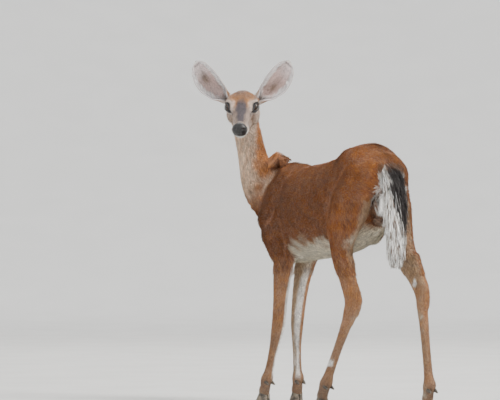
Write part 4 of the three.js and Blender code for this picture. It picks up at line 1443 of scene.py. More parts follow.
class Markings:
    """Her markings as colours of places, the same for skin and coat."""

    def __init__(self) -> None:
        """Takes the palette and draws the patterns that break up its edges."""
        self.of = Palette()
        self.broad, self.middling, self.fine = Ripple(150, 11), Ripple(38, 12), Ripple(9, 13)
        self.wisps, self.sheaves = Ripple(5, 14), Ripple(12, 15)

    def body(self, s: Spots) -> Array:
        """Colours of places anywhere but the ears.

        Args:
            s: the places.

        Returns:
            One linear colour for each.
        """
        of, p, n = self.of, s.at, s.normal
        edge = 7 * self.middling.at(p) + 3 * self.fine.at(p)
        patch = self.broad.at(p) * 0.5 + 0.5
        x, y, z = p[:, 0], np.abs(p[:, 1]), p[:, 2]
        under = ease(-0.32, -0.72, n[:, 2] + edge * 0.012) * ease(640, 590, z)
        # Partly painted light: the flank darker as painted shade, the haunch lighter and upward-facing coat high on
        # the body lighter as painted highlight.
        colour = self.layered(
            self.wash(of.flank, of.haunch, ease(-60, -300, x) * (0.6 + 0.4 * patch)),
            (of.back, ease(0.25, 0.85, n[:, 2]) * ease(620, 780, z) * 0.8),
            (of.spine, bump(y, 0, 16) * ease(0.3, 0.8, n[:, 2]) * ease(700, 800, z) * 0.5),
            (of.belly, under * ease(300, 240, x)),
            (of.belly, ease(-190, -215, x) * ease(64, 44, y + edge) * ease(640, 575, z)),
        )
        for paint in (self.legs, self.rump, self.neck, self.head):
            colour = paint(colour, s, edge)
        return np.clip(colour * (1 + 0.06 * self.middling.at(p))[:, None] * self.streaks(s), 0, 1)

    def streaks(self, s: Spots) -> Array:
        """Lighter and darker wisps that run with the hair, the lighter ones a little yellower."""
        combed = s.comb * [1000, 1000, 2000]
        level = 0.15 * self.wisps.at(combed) + 0.12 * self.sheaves.at(combed)
        return 1 + level[:, None] * [1.0, 0.92, 0.78]

    @staticmethod
    def wash(a: Array, b: Array, share: Array) -> Array:
        """One colour giving way to another by a share at each place."""
        return a + (b - a) * np.clip(share, 0, 1)[:, None]

    @classmethod
    def layered(cls, colour: Array, *layers: tuple[Array, Array]) -> Array:
        """A colour with others laid over it in turn, each by a share at each place."""
        for paint, share in layers:
            colour = cls.wash(colour, paint, share)
        return colour

    def legs(self, colour: Array, s: Spots, edge: Array) -> Array:
        """Tan shins, pale inner faces and rear edges, and the two glands of each hind leg."""
        of, z, rearward = self.of, s.at[:, 2], -s.normal[:, 0]
        for leg in LEGS:
            mine = s.region == leg.value
            inward = (-1 if "LEFT" in leg.name else 1) * s.normal[:, 1]
            facing = ease(0.3, 0.8, inward + edge * 0.01)
            layers = [
                (of.shin, mine * ease(560, 400, z + edge) * 0.85),
                (of.shank, mine * ease(330, 200, z)),
            ]
            if leg in HIND_LEGS:
                pale = facing * (0.25 + 0.4 * ease(400, 450, z)) * ease(110, 190, z)
                behind = ease(0.45, 0.9, rearward + 0.25 * inward) * ease(480, 540, z) * 0.6
                layers += [(of.inner_leg, mine * np.maximum(pale, behind)), *self.glands(s, mine, leg)]
            else:
                behind = ease(0.0, 0.35, inward) * ease(0.15, 0.5, rearward + edge * 0.01)
                behind = behind * ease(70, 110, z) * ease(530, 430, z)
                layers += [
                    (of.inner_leg, mine * facing * 0.8 * ease(80, 120, z)),
                    (of.white, mine * behind * 0.9),
                ]
            colour = self.layered(colour, *layers, (of.pastern, mine * ease(95, 60, z)))
        return colour

    def glands(self, s: Spots, mine: Array, leg: Region) -> list[tuple[Array, Array]]:
        """The small white tufts inside one hock and outside its cannon, as layers of colour."""
        layers = []
        for at, reach in ((HOCK_GLANDS[leg], [15, 12, 18]), (CANNON_GLANDS[leg], [30, 9, 15])):
            share = np.linalg.norm((s.at - at) / reach, axis=1) + 0.08 * self.fine.at(s.at)
            layers.append((self.of.white, mine * ease(1.15, 0.7, share) * 0.9))
        return layers

    def rump(self, colour: Array, s: Spots, edge: Array) -> Array:
        """White round the tail's root and between the thighs, with grey-buff painted shade in the cleft below the
        tail; the tail brown, then black, its edges white.
        """
        of, p = self.of, s.at
        y, z = np.abs(p[:, 1]), p[:, 2]
        tail = s.region == Region.TAIL.value
        soft = edge * 0.5
        behind = ease(-300, -330, p[:, 0])
        inner = ease(60, 46, y + soft) * behind * ease(760, 735, z + edge)
        white = ease(53, 44, y + soft) * ease(832, 816, z + soft) * ease(748, 768, z)
        fringe = ease(51, 45, y + soft) * ease(35, 40, y) * ease(645, 670, z) * ease(775, 755, z) * 0.8
        colour = self.layered(
            colour,
            # painted shade in the cleft between the thighs below the tail
            (of.cleft, ~tail * inner * 0.9),
            (of.belly, ~tail * ease(66, 48, y + edge) * behind * ease(636, 606, z + edge) * 0.9),
            (of.white, ~tail * ease(-318, -340, p[:, 0]) * np.maximum(white, fringe)),
        )
        half = np.interp(z, [555, 575, 600, 680, 770], [5, 12, 18, 27, 27])
        outer = ease(-0.15, 0.2, -s.normal[:, 0] + edge * 0.01)
        outer = outer * ease(half + 4, half - 4, np.abs(p[:, 1] + 4) + soft)
        dark = self.wash(of.tail_root, of.tail_stripe, ease(815, 778, z + edge))
        worn = of.white + (dark - of.white) * (outer * ease(548, 572, z + edge))[:, None]
        root = ease(800, 822, z + soft)[:, None]
        worn = worn * (1 - root) + of.tail_root * root
        return np.where(tail[:, None], worn, colour)

    def neck(self, colour: Array, s: Spots, edge: Array) -> Array:
        """A pale throat that runs down to the brisket, and a browner nape."""
        of, p, n, z = self.of, s.at, s.normal, s.at[:, 2]
        mine = ease(0.15, 0.85, s.neck + edge * 0.02)
        high = ease(690, 880, z + 0.35 * (p[:, 0] - 330) + 1.6 * edge)
        edge_at = np.interp(z, [700, 800, 900, 1000], [-0.3, 0.0, -0.4, -0.4])
        pale = ease(edge_at + 0.3, edge_at - 0.3, s.nape + edge * 0.02) * ease(690, 800, z + edge)
        flecks = 0.75 + 0.25 * ease(-0.3, 0.5, self.sheaves.at(s.comb * [1000, 1000, 700]))
        front = ease(0.35, 0.85, n[:, 0] + 0.2 * n[:, 1]) * ease(900, 820, z) * ease(640, 720, z)
        return self.layered(
            colour,
            (of.nape, mine * high),
            (of.throat, mine * pale * flecks * 0.95),
            (of.throat, front * ease(290, 340, p[:, 0]) * 0.5),
        )

    def head(self, colour: Array, s: Spots, edge: Array) -> Array:
        """Forehead, brows, blaze, cheeks, pale rings, white muzzle and the bare black nose."""
        of, q = self.of, in_head(s.at)
        x, y, z = q[:, 0], np.abs(q[:, 1]), q[:, 2]
        e = edge * 0.45
        mine = ease(-96, -72, x + 0.5 * z) * (np.linalg.norm(q, axis=1) < 180)
        top = ease(0, 14, z - 0.05 * x + e) * ease(54, 38, y + e)
        half = np.interp(x, [10, 36, 110], [12, 19, 11])
        blaze = ease(0, 34, x + e) * ease(half + 7, half - 6, y + e * 0.7) * ease(128, 122, x)
        rings = [np.linalg.norm((q - eye_centre(s) - [4, 0, 0]) / [31, 28, 22], axis=1) for s in Side]
        ring = np.minimum(*rings) + e * 0.012
        lip = bump(z + 0.04 * x, -52, 3.2) * ease(70, 96, x)
        spot = bump(x, 98, 7) * bump(z, -64, 4.5) * ease(15, 20, y)
        made = self.layered(
            self.wash(of.throat, of.cheek, ease(-80, -30, x + e)),
            (of.nape, ease(-6, 14, z + e) * ease(-20, -60, x) * 0.8),
            (of.forehead, top * ease(54, 30, x + e)),
            (of.crown, top * ease(34, 12, y + e) * ease(4, -30, x + e) * 0.75),
            (of.brow, bump(x, 14, 20) * bump(y, 29, 12) * bump(z, 18, 16) * 0.75),
            (of.blaze, blaze * ease(-26, -10, z + 0.25 * x - 6) * 0.94),
            (of.eye_ring, ease(1.32, 1.08, ring) * 0.6),
            (of.blaze * 0.3, ease(1.02, 0.86, ring)),
            (of.blaze, bump(x, 40, 13) * bump(y, 33, 6) * bump(z, -15, 7) * 0.8),
            (of.eye_ring, bump(x, 124, 3) * ease(-52, -34, z + 0.1 * e) * 0.3),
            (of.eye_ring, ease(96, 116, x + e) * ease(15, 22, y) * ease(-52, -34, z) * 0.4),
            (of.white, ease(-40, -50, z + e * 0.4) * ease(40, 76, x + e)),
            (of.throat * 0.9, ease(-30, -58, z) * ease(40, -20, x) * 0.5),
            (of.bare, lip * 0.85),
            (of.bare, spot * 0.7),
            (of.bare, ease(*self.NOSE, self.noseward(q))),
        )
        return colour * (1 - mine[:, None]) + made * mine[:, None]

    NOSE = (-1.2, 1.2)

    @staticmethod
    def noseward(q: Array) -> Array:
        """How far each place of the head lies inside the edge of the bare nose, in millimetres."""
        y = np.abs(q[:, 1])
        top = 128 + 0.010 * y**2
        front = q[:, 0] - top - 0.34 * np.clip(-40 - q[:, 2], 0, 40) - 0.9 * np.clip(-50 - q[:, 2], 0, 40)
        return np.where(np.linalg.norm(q, axis=1) < 185, front, -60)

    def ear(self, ear: Ear, p: Array, share: Array, swing: Array, inner: Array) -> Array:
        """Colours of places on an ear.

        Args:
            ear: the ear.
            p: the places.
            share: along it.
            swing: across it, from -1 to 1.
            inner: nought on the back, one in the hollow.

        Returns:
            One linear colour for each place.
        """
        of, s = self.of, ear.side.value
        edge = 0.05 * self.middling.at(p) + 0.04 * self.fine.at(p)
        back = self.layered(
            self.wash(of.ear_back, of.forehead, ease(0.4, 0.1, share + edge)),
            (of.spine * 0.5, ease(0.9, 0.98, share + edge * 0.4) * 0.7),
            (of.white, ease(0.12, 0.02, share + edge) * 0.8),
        )
        # heights of the painted shade in each hollow
        high = 0.62 if ear.side is Side.RIGHT else 0.38
        line = bump(share, 0.93, 0.012) + bump(np.abs(swing), 0.87, 0.03) * ease(0.72, 0.9, share)
        hollow = self.layered(
            self.wash(of.ear_hollow, of.ear_hair, ease(0.55, 0.9, share + edge) * 0.5),
            # painted shade: dark patches where the cup shades itself, at other heights on each ear
            (of.ear_shade, bump(swing * s, 0.12, 0.3) * bump(share, high, 0.13) * 0.8),
            (of.ear_shade, bump(swing * s, -0.5, 0.16) * bump(share, 0.3, 0.12) * 0.5),
            (of.ear_hair, ease(0.66, 0.92, np.abs(swing) + edge)),
            # painted shade deep in the root of the hollow
            (of.ear_shade * 0.4, ease(0.2, 0.05, share) * 0.7),
            (of.bare, line * ease(0.95, 0.9, np.abs(swing)) * 0.65),
            (of.white, ease(0.955, 0.975, share)),
        )
        return np.clip(np.where((inner > 0.5)[:, None], hollow, back), 0, 1)


# ---------------------------------------------------------------- the coat


@dataclass(frozen=True)
class Tuft:
    """How the tufts of one stretch of the coat are shaped, in millimetres and degrees."""

    length: float
    width: float
    lift: float
    spread: float = 8.0  # how far tufts stray from the lie
    vary: float = 0.25


class Sampler:
    """Picks places on a mesh, evenly over its surface."""

    def __init__(self, thing: bpy.types.Object) -> None:
        """Reads the mesh as triangles."""
        mesh = thing.data
        mesh.calc_loop_triangles()
        self.corners = read(mesh.loop_triangles, "vertices", kind=np.int32)
        self.points, self.normals = points_of(thing), normals_of(thing)
        a, b, c = (self.points[self.corners[:, k]] for k in range(3))
        self.areas = np.linalg.norm(np.cross(b - a, c - a), axis=1) / 2
        self.middles = (a + b + c) / 3

    def pick(self, chosen: Array, density: Array, count: int, seed: int) -> tuple[Array, Array]:
        """Places on some of the triangles.

        Args:
            chosen: which triangles.
            density: how crowded each triangle is, against the others.
            count: how many places.
            seed: picks the pattern.

        Returns:
            the places and the skin's normals there.
        """
        random = np.random.default_rng(SEED + seed)
        weight = np.cumsum(np.where(chosen, self.areas * density, 0))
        at = (np.arange(count) + random.uniform(0, 1, count)) / count * weight[-1]
        corner = self.corners[np.minimum(np.searchsorted(weight, at), len(weight) - 1)]
        u, v = np.sqrt(random.uniform(0, 1, count)), random.uniform(0, 1, count)
        shares = np.stack([1 - u, u * (1 - v), u * v], 1)[:, :, None]
        return (self.points[corner] * shares).sum(1), unit((self.normals[corner] * shares).sum(1))


@dataclass
class Patchwork:
    """Tufts being gathered into one piece of the coat."""

    name: str
    points: list[Array] = field(default_factory=list)
    faces: list[Array] = field(default_factory=list)
    colours: list[Array] = field(default_factory=list)
    along: list[Array] = field(default_factory=list)
    strand: list[Array] = field(default_factory=list)
    places: list[Array] = field(default_factory=list)
    count: int = 0

    PATCH = 0.003

    def add(self, points: Array, faces: Array, colours: Array, along: Array, strand: Array, roots: Array) -> None:
        """Adds many tufts of one make.

        Args:
            points: tufts x corners x 3.
            faces: the triangles of one tuft.
            colours: tufts x 3.
            along: how far from root to tip each corner lies.
            strand: one random number for each tuft.
            roots: where each tuft stands on the unwrap, from 0 to 1.
        """
        tufts, corners = points.shape[:2]
        self.faces.append((faces[None] + (np.arange(tufts) * corners)[:, None, None]).reshape(-1, 3) + self.count)
        self.points.append(points.reshape(-1, 3))
        self.colours.append(np.repeat(colours, corners, 0))
        self.along.append(np.tile(along, tufts))
        self.strand.append(np.repeat(strand, corners))
        across = np.tile(np.linspace(-0.5, 0.5, corners)[np.argsort(np.argsort(along % 0.17))], (tufts, 1))
        patch = np.stack([across, np.tile(along - 0.5, (tufts, 1))], -1) * self.PATCH
        self.places.append((roots[:, None] * (1 - 2 * self.PATCH) + self.PATCH + patch).reshape(-1, 2))
        self.count += tufts * corners

    def build(self, material: bpy.types.Material) -> bpy.types.Object:
        """The piece as one mesh.

        Args:
            material: the coat's finish.

        Returns:
            The piece's object, riding on the body.
        """
        faces = np.vstack(self.faces)
        made = mesh_object(self.name, np.vstack(self.points), faces)
        put_value(made, "marking", np.vstack(self.colours))
        put_value(made, "along", np.concatenate(self.along))
        put_value(made, "strand", np.concatenate(self.strand))
        layer = made.data.uv_layers.new(name="OFBake")
        layer.data.foreach_set("uv", np.vstack(self.places)[faces.ravel()].astype(np.float32).ravel())
        made.data.materials.append(material)
        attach(made, BODY)
        LOG.info("%s: %d triangles", self.name, len(faces))
        return made


KITE_FACES = np.array([[0, 2, 3], [0, 3, 1], [2, 4, 3], [3, 4, 1], [0, 1, 2], [1, 4, 2]])
KITE_ALONG = np.array([0.0, 0.36, 0.37, 0.42, 1.0])


def kites(s: Spots, shape: Tuft, scale: Array, random: np.random.Generator) -> Array:
    """Short flat tufts: thin closed slivers, widest at a third of their length, that lie on the skin.

    Args:
        s: their roots.
        shape: their make.
        scale: each one's size against it.
        random: the source of their variety.

    Returns:
        tufts x 5 x 3 points.
    """
    count = len(s.at)
    turn = np.radians(random.normal(0, shape.spread, count))[:, None]
    aside = np.cross(s.normal, s.lie)
    lie = s.lie * np.cos(turn) + aside * np.sin(turn)
    aside = np.cross(s.normal, lie)
    size = scale * random.uniform(1 - shape.vary, 1 + shape.vary, count)
    long, wide = (shape.length * size)[:, None], (shape.width * np.sqrt(size))[:, None] / 2
    rise = np.tan(np.radians(shape.lift * random.uniform(0.45, 1.35, count)))[:, None]
    bend = (random.normal(0, 0.09, count))[:, None] * long
    root = s.at - s.normal * 0.5
    middle = s.at + lie * long * 0.36 + s.normal * (long * 0.42 * rise)
    tip = s.at + lie * long + s.normal * (long * rise * 0.92) + aside * bend
    ridge = middle + lie * long * 0.05 + s.normal * wide * 0.55
    return np.stack([root, middle + aside * wide, middle - aside * wide, ridge, tip], 1)


def turning(start: Array, end: Array, sections: int = 5) -> Array:
    """Directions that turn evenly from a start to an end, one for each section of a lock."""
    return np.stack([start + (end - start) * t for t in np.linspace(0, 1, sections)], 1)


def locks(
    root: Array, ways: Array, normals: Array, long: Array, wide: Array, sections: int = 5
) -> tuple[Array, Array, Array]:
    """Long tapering tufts with three sides, each along its own curve.

    Args:
        root: where they grow, tufts x 3.
        ways: their direction at each section, tufts x sections x 3.
        normals: which way their backs face, tufts x 3.
        long: their lengths.
        wide: their widths.
        sections: how many rings each has before its tip.

    Returns:
        points, the faces of one, and how far along it each corner lies.
    """
    step = long[:, None, None] / sections
    middle = root[:, None] + np.concatenate([0 * ways[:, :1], np.cumsum(unit(ways) * step, 1)], 1)
    shares = np.linspace(0, 1, sections + 1)
    profile = np.sin(np.pi * (0.16 + 0.84 * shares[:-1]) ** 0.8) ** 0.7 * 0.95 + 0.05
    taper = profile[None, :, None] * wide[:, None, None]
    aside = unit(np.cross(ways, normals[:, None]))
    up = unit(np.cross(aside, ways))
    body = middle[:, :-1]
    corners = [body + aside * taper * 0.5, body - aside * taper * 0.5, body + up * taper * 0.32]
    rings = np.stack(corners, 2).reshape(len(root), -1, 3)
    points = np.concatenate([rings, middle[:, -1:]], 1)
    faces = [[0, 1, 2]]
    for i in range(sections - 1):
        for j in range(3):
            a, b = i * 3 + j, i * 3 + (j + 1) % 3
            faces += [[a, a + 3, b], [b, a + 3, b + 3]]
    last, tip = (sections - 1) * 3, sections * 3
    faces += [[last + j, tip, last + (j + 1) % 3] for j in range(3)]
    return points, np.array(faces), np.append(np.repeat(shares[:-1], 3), 1.0)


class Coat:
    """Her coat: short tufts over all of the skin, and long hair on tail, rump, ears, hocks and lids."""

    TRUNK_TUFT = Tuft(19, 2.1, 11)
    NECK_TUFT = Tuft(16, 1.9, 12)
    LEG_TUFT = Tuft(9.5, 1.35, 10)
    HEAD_TUFT = Tuft(7.0, 1.15, 10, spread=6)
    EAR_TUFT = Tuft(8.0, 1.1, 9)

    def __init__(
        self, lie: Lie, markings: Markings, skin: bpy.types.Object, ears: list[Ear], material: bpy.types.Material
    ) -> None:
        """Reads the skin once for every piece of the coat."""
        self.form, self.lie, self.markings = lie.form, lie, markings
        self.ears, self.material = ears, material
        self.sampler = Sampler(skin)
        self.middles = self.sampler.middles
        self.home = self.regions(self.middles)
        self.pieces: list[bpy.types.Object] = []

    def regions(self, points: Array) -> Array:
        """The region of each place, by its distance from the regions' lines."""
        return self.lie.spots(points, np.tile([0.0, 0.0, 1.0], (len(points), 1))).region

    @staticmethod
    def tuft_scale(points: Array) -> Array:
        """How large the tufts are at each place: smallest about the nose, the eyes and the feet."""
        z = points[:, 2]
        body = np.interp(z, [0, 40, 110, 300, 480, 560, 700], [0.55, 0.62, 0.8, 1.0, 1.25, 1.0, 1.0])
        q = in_head(points)
        face = np.interp(q[:, 0], [-90, -40, 20, 80, 120, 145], [1.7, 1.2, 1.0, 0.8, 0.62, 0.45])
        eye = np.minimum(*[np.linalg.norm(q - eye_centre(s), axis=1) for s in Side])
        face = face * np.interp(eye, [18, 34], [0.6, 1.0])
        return np.where(np.linalg.norm(q, axis=1) < 185, face, body)

    @staticmethod
    def bare(points: Array) -> Array:
        """How bare of hair the skin is: the nose, the rims of the lids and what lies behind them."""
        q = in_head(points)
        found = ease(-0.8, 0.8, Markings.noseward(q))
        for side in Side:
            share = lid_place(q, side)[0]
            found = np.maximum(found, ease(1.34, 1.16, share))
        return found * (np.linalg.norm(q, axis=1) < 190)

    def short(self, name: str, chosen: Array, shape: Tuft, count: int, seed: int) -> None:
        """One piece of short coat.

        Args:
            name: its name.
            chosen: the skin's triangles that it grows from.
            shape: the make of its tufts.
            count: how many of them.
            seed: picks the pattern.
        """
        random = np.random.default_rng(SEED + 100 + seed)
        density = 1 / self.tuft_scale(self.middles) ** 1.6
        points, normals = self.sampler.pick(chosen, density, count, seed)
        keep = (self.bare(points) < 0.5) & (self.form.below_coronet(points) < -2.5)
        spots = self.lie.spots(points[keep], normals[keep])
        made = Patchwork(name)
        tufts = kites(spots, shape, self.tuft_scale(spots.at), random)
        strand = random.uniform(0, 1, len(spots.at))
        made.add(tufts, KITE_FACES, self.markings.body(spots), KITE_ALONG, strand, self.unwrap(spots))
        self.finish(made)

    @staticmethod
    def unwrap(spots: Spots) -> Array:
        """Places on the skin's unwrap: each region has a column, round it one way and along it the other."""
        present = np.unique(spots.region)
        column = np.searchsorted(present, spots.region)
        return np.stack([(column + spots.swing) / len(present), spots.share], 1)

    def finish(self, made: Patchwork) -> None:
        """Builds a piece and keeps it."""
        piece = made.build(self.material)
        self.pieces.append(piece)

    def build(self) -> None:
        """Grows every piece of the coat."""
        x, y, z = self.middles.T
        is_in = {region: self.home == region.value for region in Region}
        hind = is_in[Region.HIND_LEFT] | is_in[Region.HIND_RIGHT]
        fore = is_in[Region.FORE_LEFT] | is_in[Region.FORE_RIGHT]
        low = z < 470
        aft = (is_in[Region.TRUNK] & (x < -190)) | (hind & ~low) | (is_in[Region.TAIL] & (z > 800))
        barrel = (is_in[Region.TRUNK] & (x >= -190)) | (fore & ~low)
        for side, mine in ((Side.LEFT, y >= 0), (Side.RIGHT, y < 0)):
            word, seed = side.name.lower(), side.value
            self.short(f"coat_trunk_{word}", barrel & mine, self.TRUNK_TUFT, 27000, 3 + seed)
            self.short(f"coat_haunch_{word}", aft & mine, self.TRUNK_TUFT, 22000, 6 + seed)
        self.short("coat_neck", is_in[Region.NECK], self.NECK_TUFT, 25000, 9)
        self.short("coat_head", is_in[Region.HEAD], self.HEAD_TUFT, 31000, 10)
        self.short("coat_forelegs", fore & low, self.LEG_TUFT, 19000, 11)
        self.short("coat_hindlegs", hind & low, self.LEG_TUFT, 21000, 12)
        self.ear_coat()
        self.tail()
        self.rump()
        self.hocks()
        self.lashes()

    def ear_coat(self) -> None:
        """Short hair on the backs of the ears, longer pale hair in their hollows and a fringe along their edges."""
        made = Patchwork("coat_ears")
        for k, ear in enumerate(self.ears):
            random = np.random.default_rng(SEED + 40 + k)
            for inner, count, shape in ((0.0, 5200, self.EAR_TUFT), (1.0, 4300, Tuft(12, 1.0, 13, spread=12))):
                share = 1 - random.uniform(0, 1, count) ** 0.8 * 0.97
                share = share[random.uniform(0, 1, len(share)) < ear.sizes(share)[0] / 43 + 0.15]
                swing = random.uniform(-0.98, 0.98, len(share))
                face = np.full(len(share), inner)
                spots = self.ear_spots(ear, share, swing, face)
                scale = np.interp(share, [0, 0.3, 0.8, 1], [1.2, 1.0, 0.8, 0.55])
                if inner:
                    scale = scale * np.interp(np.abs(swing), [0, 0.35, 0.75, 1], [1.1, 0.6, 1.1, 1.3])
                tufts = kites(spots, shape, scale, random)
                colours = self.markings.ear(ear, spots.at, share, swing, face)
                place = np.stack([(k + (swing * 0.5 + 0.5) * 0.5 + 0.5 * face) / 2, share], 1)
                made.add(tufts, KITE_FACES, colours, KITE_ALONG, random.uniform(0, 1, len(share)), place)
            self.ear_fringe(made, ear, k, random)
        self.finish(made)

    def ear_spots(self, ear: Ear, share: Array, swing: Array, face: Array) -> Spots:
        """Places on an ear with the hair running from its root to its tip."""
        at, normal = ear.surface(share, swing, face)
        ahead, _ = ear.surface(np.minimum(share + 0.02, 1.02), swing * 0.98, face)
        lie = self.lie.lay(ahead - at, normal)
        return Spots(at, normal, lie, np.zeros(len(at), int), share, swing, at * 0, share * 0, share * 0)

    def ear_fringe(self, made: Patchwork, ear: Ear, k: int, random: np.random.Generator) -> None:
        """Long pale hair from the front and rear edges, leaning over the hollow and towards the tip."""
        count = 620
        share = random.uniform(0.05, 0.96, count) ** 1.1
        edge = np.where(random.uniform(0, 1, count) < 0.62, -ear.side.value, ear.side.value)
        swing = edge * random.uniform(0.8, 0.99, count)
        spots = self.ear_spots(ear, share, swing, np.ones(count))
        middle, _ = ear.surface(share, swing * 0.2, np.ones(count))
        inward = self.lie.lay(middle - spots.at, spots.normal)
        start = unit(spots.lie + 0.7 * inward + 0.5 * spots.normal)
        end = unit(spots.lie * 1.3 + 0.3 * inward + 0.05 * spots.normal)
        ways = turning(start, end) + random.normal(0, 0.1, (count, 1, 3))
        long = random.uniform(11, 24, count) * np.interp(share, [0, 0.3, 0.8, 1], [1.0, 1.15, 0.8, 0.4])
        points, faces, along = locks(spots.at - spots.normal * 0.5, ways, spots.normal, long, np.full(count, 1.5))
        colours = self.markings.wash(self.markings.of.ear_hair, self.markings.of.white, random.uniform(0, 1, count))
        place = np.stack([(k + (swing * 0.5 + 0.5) * 0.5 + 0.5) / 2, share], 1)
        made.add(points, faces, colours, along, random.uniform(0, 1, count), place)

    def tail(self) -> None:
        """The tail: hair that springs from its core, dark down the outer middle, long and white at both edges."""
        random = np.random.default_rng(SEED + 50)
        line, core = self.form.lines[Region.TAIL], self.form.tail_core
        count = 5000
        share = random.uniform(0.02, 0.97, count) ** 0.9
        angle = random.uniform(-math.pi, math.pi, count)
        reach = np.interp(share, [0, 0.3, 0.8, 1], [0.13, 0.2, 0.2, 0.12]) * random.uniform(0.75, 1.25, count)
        root = self.ring_point(core, share, angle, 0.6)
        target = self.ring_point(line, np.minimum(share + reach, 1.0), angle + random.normal(0, 0.12, count), 0.94)
        target[:, 2] -= np.clip(share + reach - 1.0, 0, 1) * 260
        straight = target - root
        long = np.linalg.norm(straight, axis=1)
        axis = line.axis[np.clip((share * (len(line.at) - 1)).astype(int), 0, len(line.at) - 1)]
        outward = unit(root - self.ring_point(core, share, angle, 0.0))
        start = unit(unit(straight) * 0.9 + outward * 0.55)
        end = unit(unit(straight) * 0.8 + axis * 0.8 - outward * 0.25)
        ways = turning(start, end) + random.normal(0, 0.05, (count, 1, 3)) + random.normal(0, 0.03, (count, 5, 3))
        points, faces, along = locks(root, ways, outward, long * 1.04, random.uniform(2.2, 4.0, count))
        spots = self.lie.spots(target, outward)
        spots.region[:] = Region.TAIL.value
        colours = self.markings.body(spots)
        grey = (random.uniform(0, 1, count) < 0.35) & (colours.mean(1) > 0.45)
        colours[grey] = self.markings.of.tail_grey
        made = Patchwork("coat_tail")
        place = np.stack([(angle / math.pi + 1) / 2, share], 1)
        made.add(points, faces, colours, along, random.uniform(0, 1, count), place)
        self.finish(made)

    @staticmethod
    def ring_point(line: Tube, share: Array, angle: Array, size: float) -> Array:
        """Points round a tube at shares of its length.

        Args:
            line: the tube.
            share: along it.
            angle: round it, from its rise direction towards its side.
            size: of the section, one at the surface.
        """
        place = np.interp(share * line.run[-1], line.run, np.arange(len(line.at)))
        i = np.minimum(place.astype(int), len(line.at) - 2)
        t = (place - i)[:, None]
        at, rise, side = (r[i] * (1 - t) + r[i + 1] * t for r in (line.at, line.rise, line.side))
        deep, wide = (r[i] * (1 - t[:, 0]) + r[i + 1] * t[:, 0] for r in (line.depth, line.width))
        return at + size * (rise * (deep * np.cos(angle))[:, None] + side * (wide * np.sin(angle))[:, None])

    def long_hair(self, made: Patchwork, chosen: Array, count: int, length: tuple[float, float], seed: int) -> None:
        """Adds long locks over part of the skin, first standing off it and then hanging.

        Args:
            made: the piece they belong to.
            chosen: the skin's triangles that they grow from.
            count: how many.
            length: shortest and longest.
            seed: picks the pattern.
        """
        random = np.random.default_rng(SEED + seed)
        points, normals = self.sampler.pick(chosen, np.ones(len(self.middles)), count, seed)
        spots = self.lie.spots(points, normals)
        start = unit(spots.lie + 0.42 * normals)
        end = unit(spots.lie + 0.12 * normals + [0, 0, -0.45])
        ways = turning(start, end) + random.normal(0, 0.09, (count, 1, 3)) + random.normal(0, 0.03, (count, 5, 3))
        long, wide = random.uniform(*length, count), random.uniform(1.8, 3.0, count)
        tufts, faces, along = locks(points - normals * 0.8, ways, normals, long, wide)
        made.add(tufts, faces, self.markings.body(spots), along, random.uniform(0, 1, count), self.unwrap(spots))

    def rump(self) -> None:
        """White hair beside the tail and between the thighs."""
        x, y, z = self.middles.T
        apart = self.home != Region.TAIL.value
        disc = (x < -318) & (np.abs(y) < 52) & (z > 742) & (z < 826) & apart
        fringe = (x < -318) & (np.abs(y) > 34) & (np.abs(y) < 50) & (z > 650) & (z <= 742) & apart
        made = Patchwork("coat_rump")
        self.long_hair(made, disc, 1200, (22, 38), 60)
        self.long_hair(made, fringe, 400, (16, 28), 61)
        self.finish(made)

    def hocks(self) -> None:
        """Tufts of long hair over the glands inside the hocks."""
        made = Patchwork("coat_hock_tufts")
        for k, (leg, inward) in enumerate(zip(HIND_LEGS, (-1, 1))):
            away = np.linalg.norm((self.middles - HOCK_GLANDS[leg]) / [17, 16, 20], axis=1)
            facing = self.sampler.normals[self.sampler.corners[:, 0]][:, 1] * inward > 0.1
            self.long_hair(made, (away < 1) & facing, 150, (9, 17), 70 + k)
        self.finish(made)

    def lashes(self) -> None:
        """Dark lashes on each upper lid and a few short ones on the lower."""
        random = np.random.default_rng(SEED + 80)
        made = Patchwork("lashes")
        for k, side in enumerate(Side):
            axes, centre = eye_axes(side), eye_centre(side)
            for upper, count, long in ((1, 34, 10.5), (-1, 16, 5.0)):
                along = np.linspace(-0.92, 0.86, count) * LIDS.half_width
                taper = np.sqrt(1 - np.abs(along / LIDS.half_width) ** 2.3)
                up = upper * LIDS.half_height * taper * (LIDS.upper_share if upper > 0 else LIDS.lower_share) * 1.05
                out = np.sqrt(np.maximum((EYE_RADIUS + 1.3) ** 2 - along**2 - up**2, 1))
                root = np.stack([along, up, out], 1)
                start = unit(root) + [0, 0.1 * upper, 0]
                fan = np.stack([along * 0.03 - 0.12, np.full(count, 0.75 * upper), np.full(count, 0.15)], 1)
                ways = np.stack([unit(start + fan * t) for t in np.linspace(0, 1.0, 5)], 1)
                ways = ways + random.normal(0, 0.06, (count, 1, 3))
                size = long * random.uniform(0.75, 1.1, count) * (0.6 + 0.4 * taper)
                place = on_head(centre + root @ axes)
                ways = (ways @ axes) @ HEAD_TURN.T
                back = unit(np.cross(ways[:, 0], (HEAD_TURN @ axes.T)[:, 0]))
                points, faces, share = locks(place, ways, back, size, np.full(count, 0.75))
                colours = np.tile(self.markings.of.bare, (count, 1))
                roots = np.stack([(k + along / 40 + 0.5) / 2, np.full(count, 0.5 + 0.3 * upper)], 1)
                made.add(points, faces, colours, share, random.uniform(0, 1, count), roots)
        self.finish(made)


# ---------------------------------------------------------------- finishes


class Kind(Enum):
    """What a socket of a shared effect carries."""

    VALUE = "NodeSocketFloat"
    COLOUR = "NodeSocketColor"
    VECTOR = "NodeSocketVector"


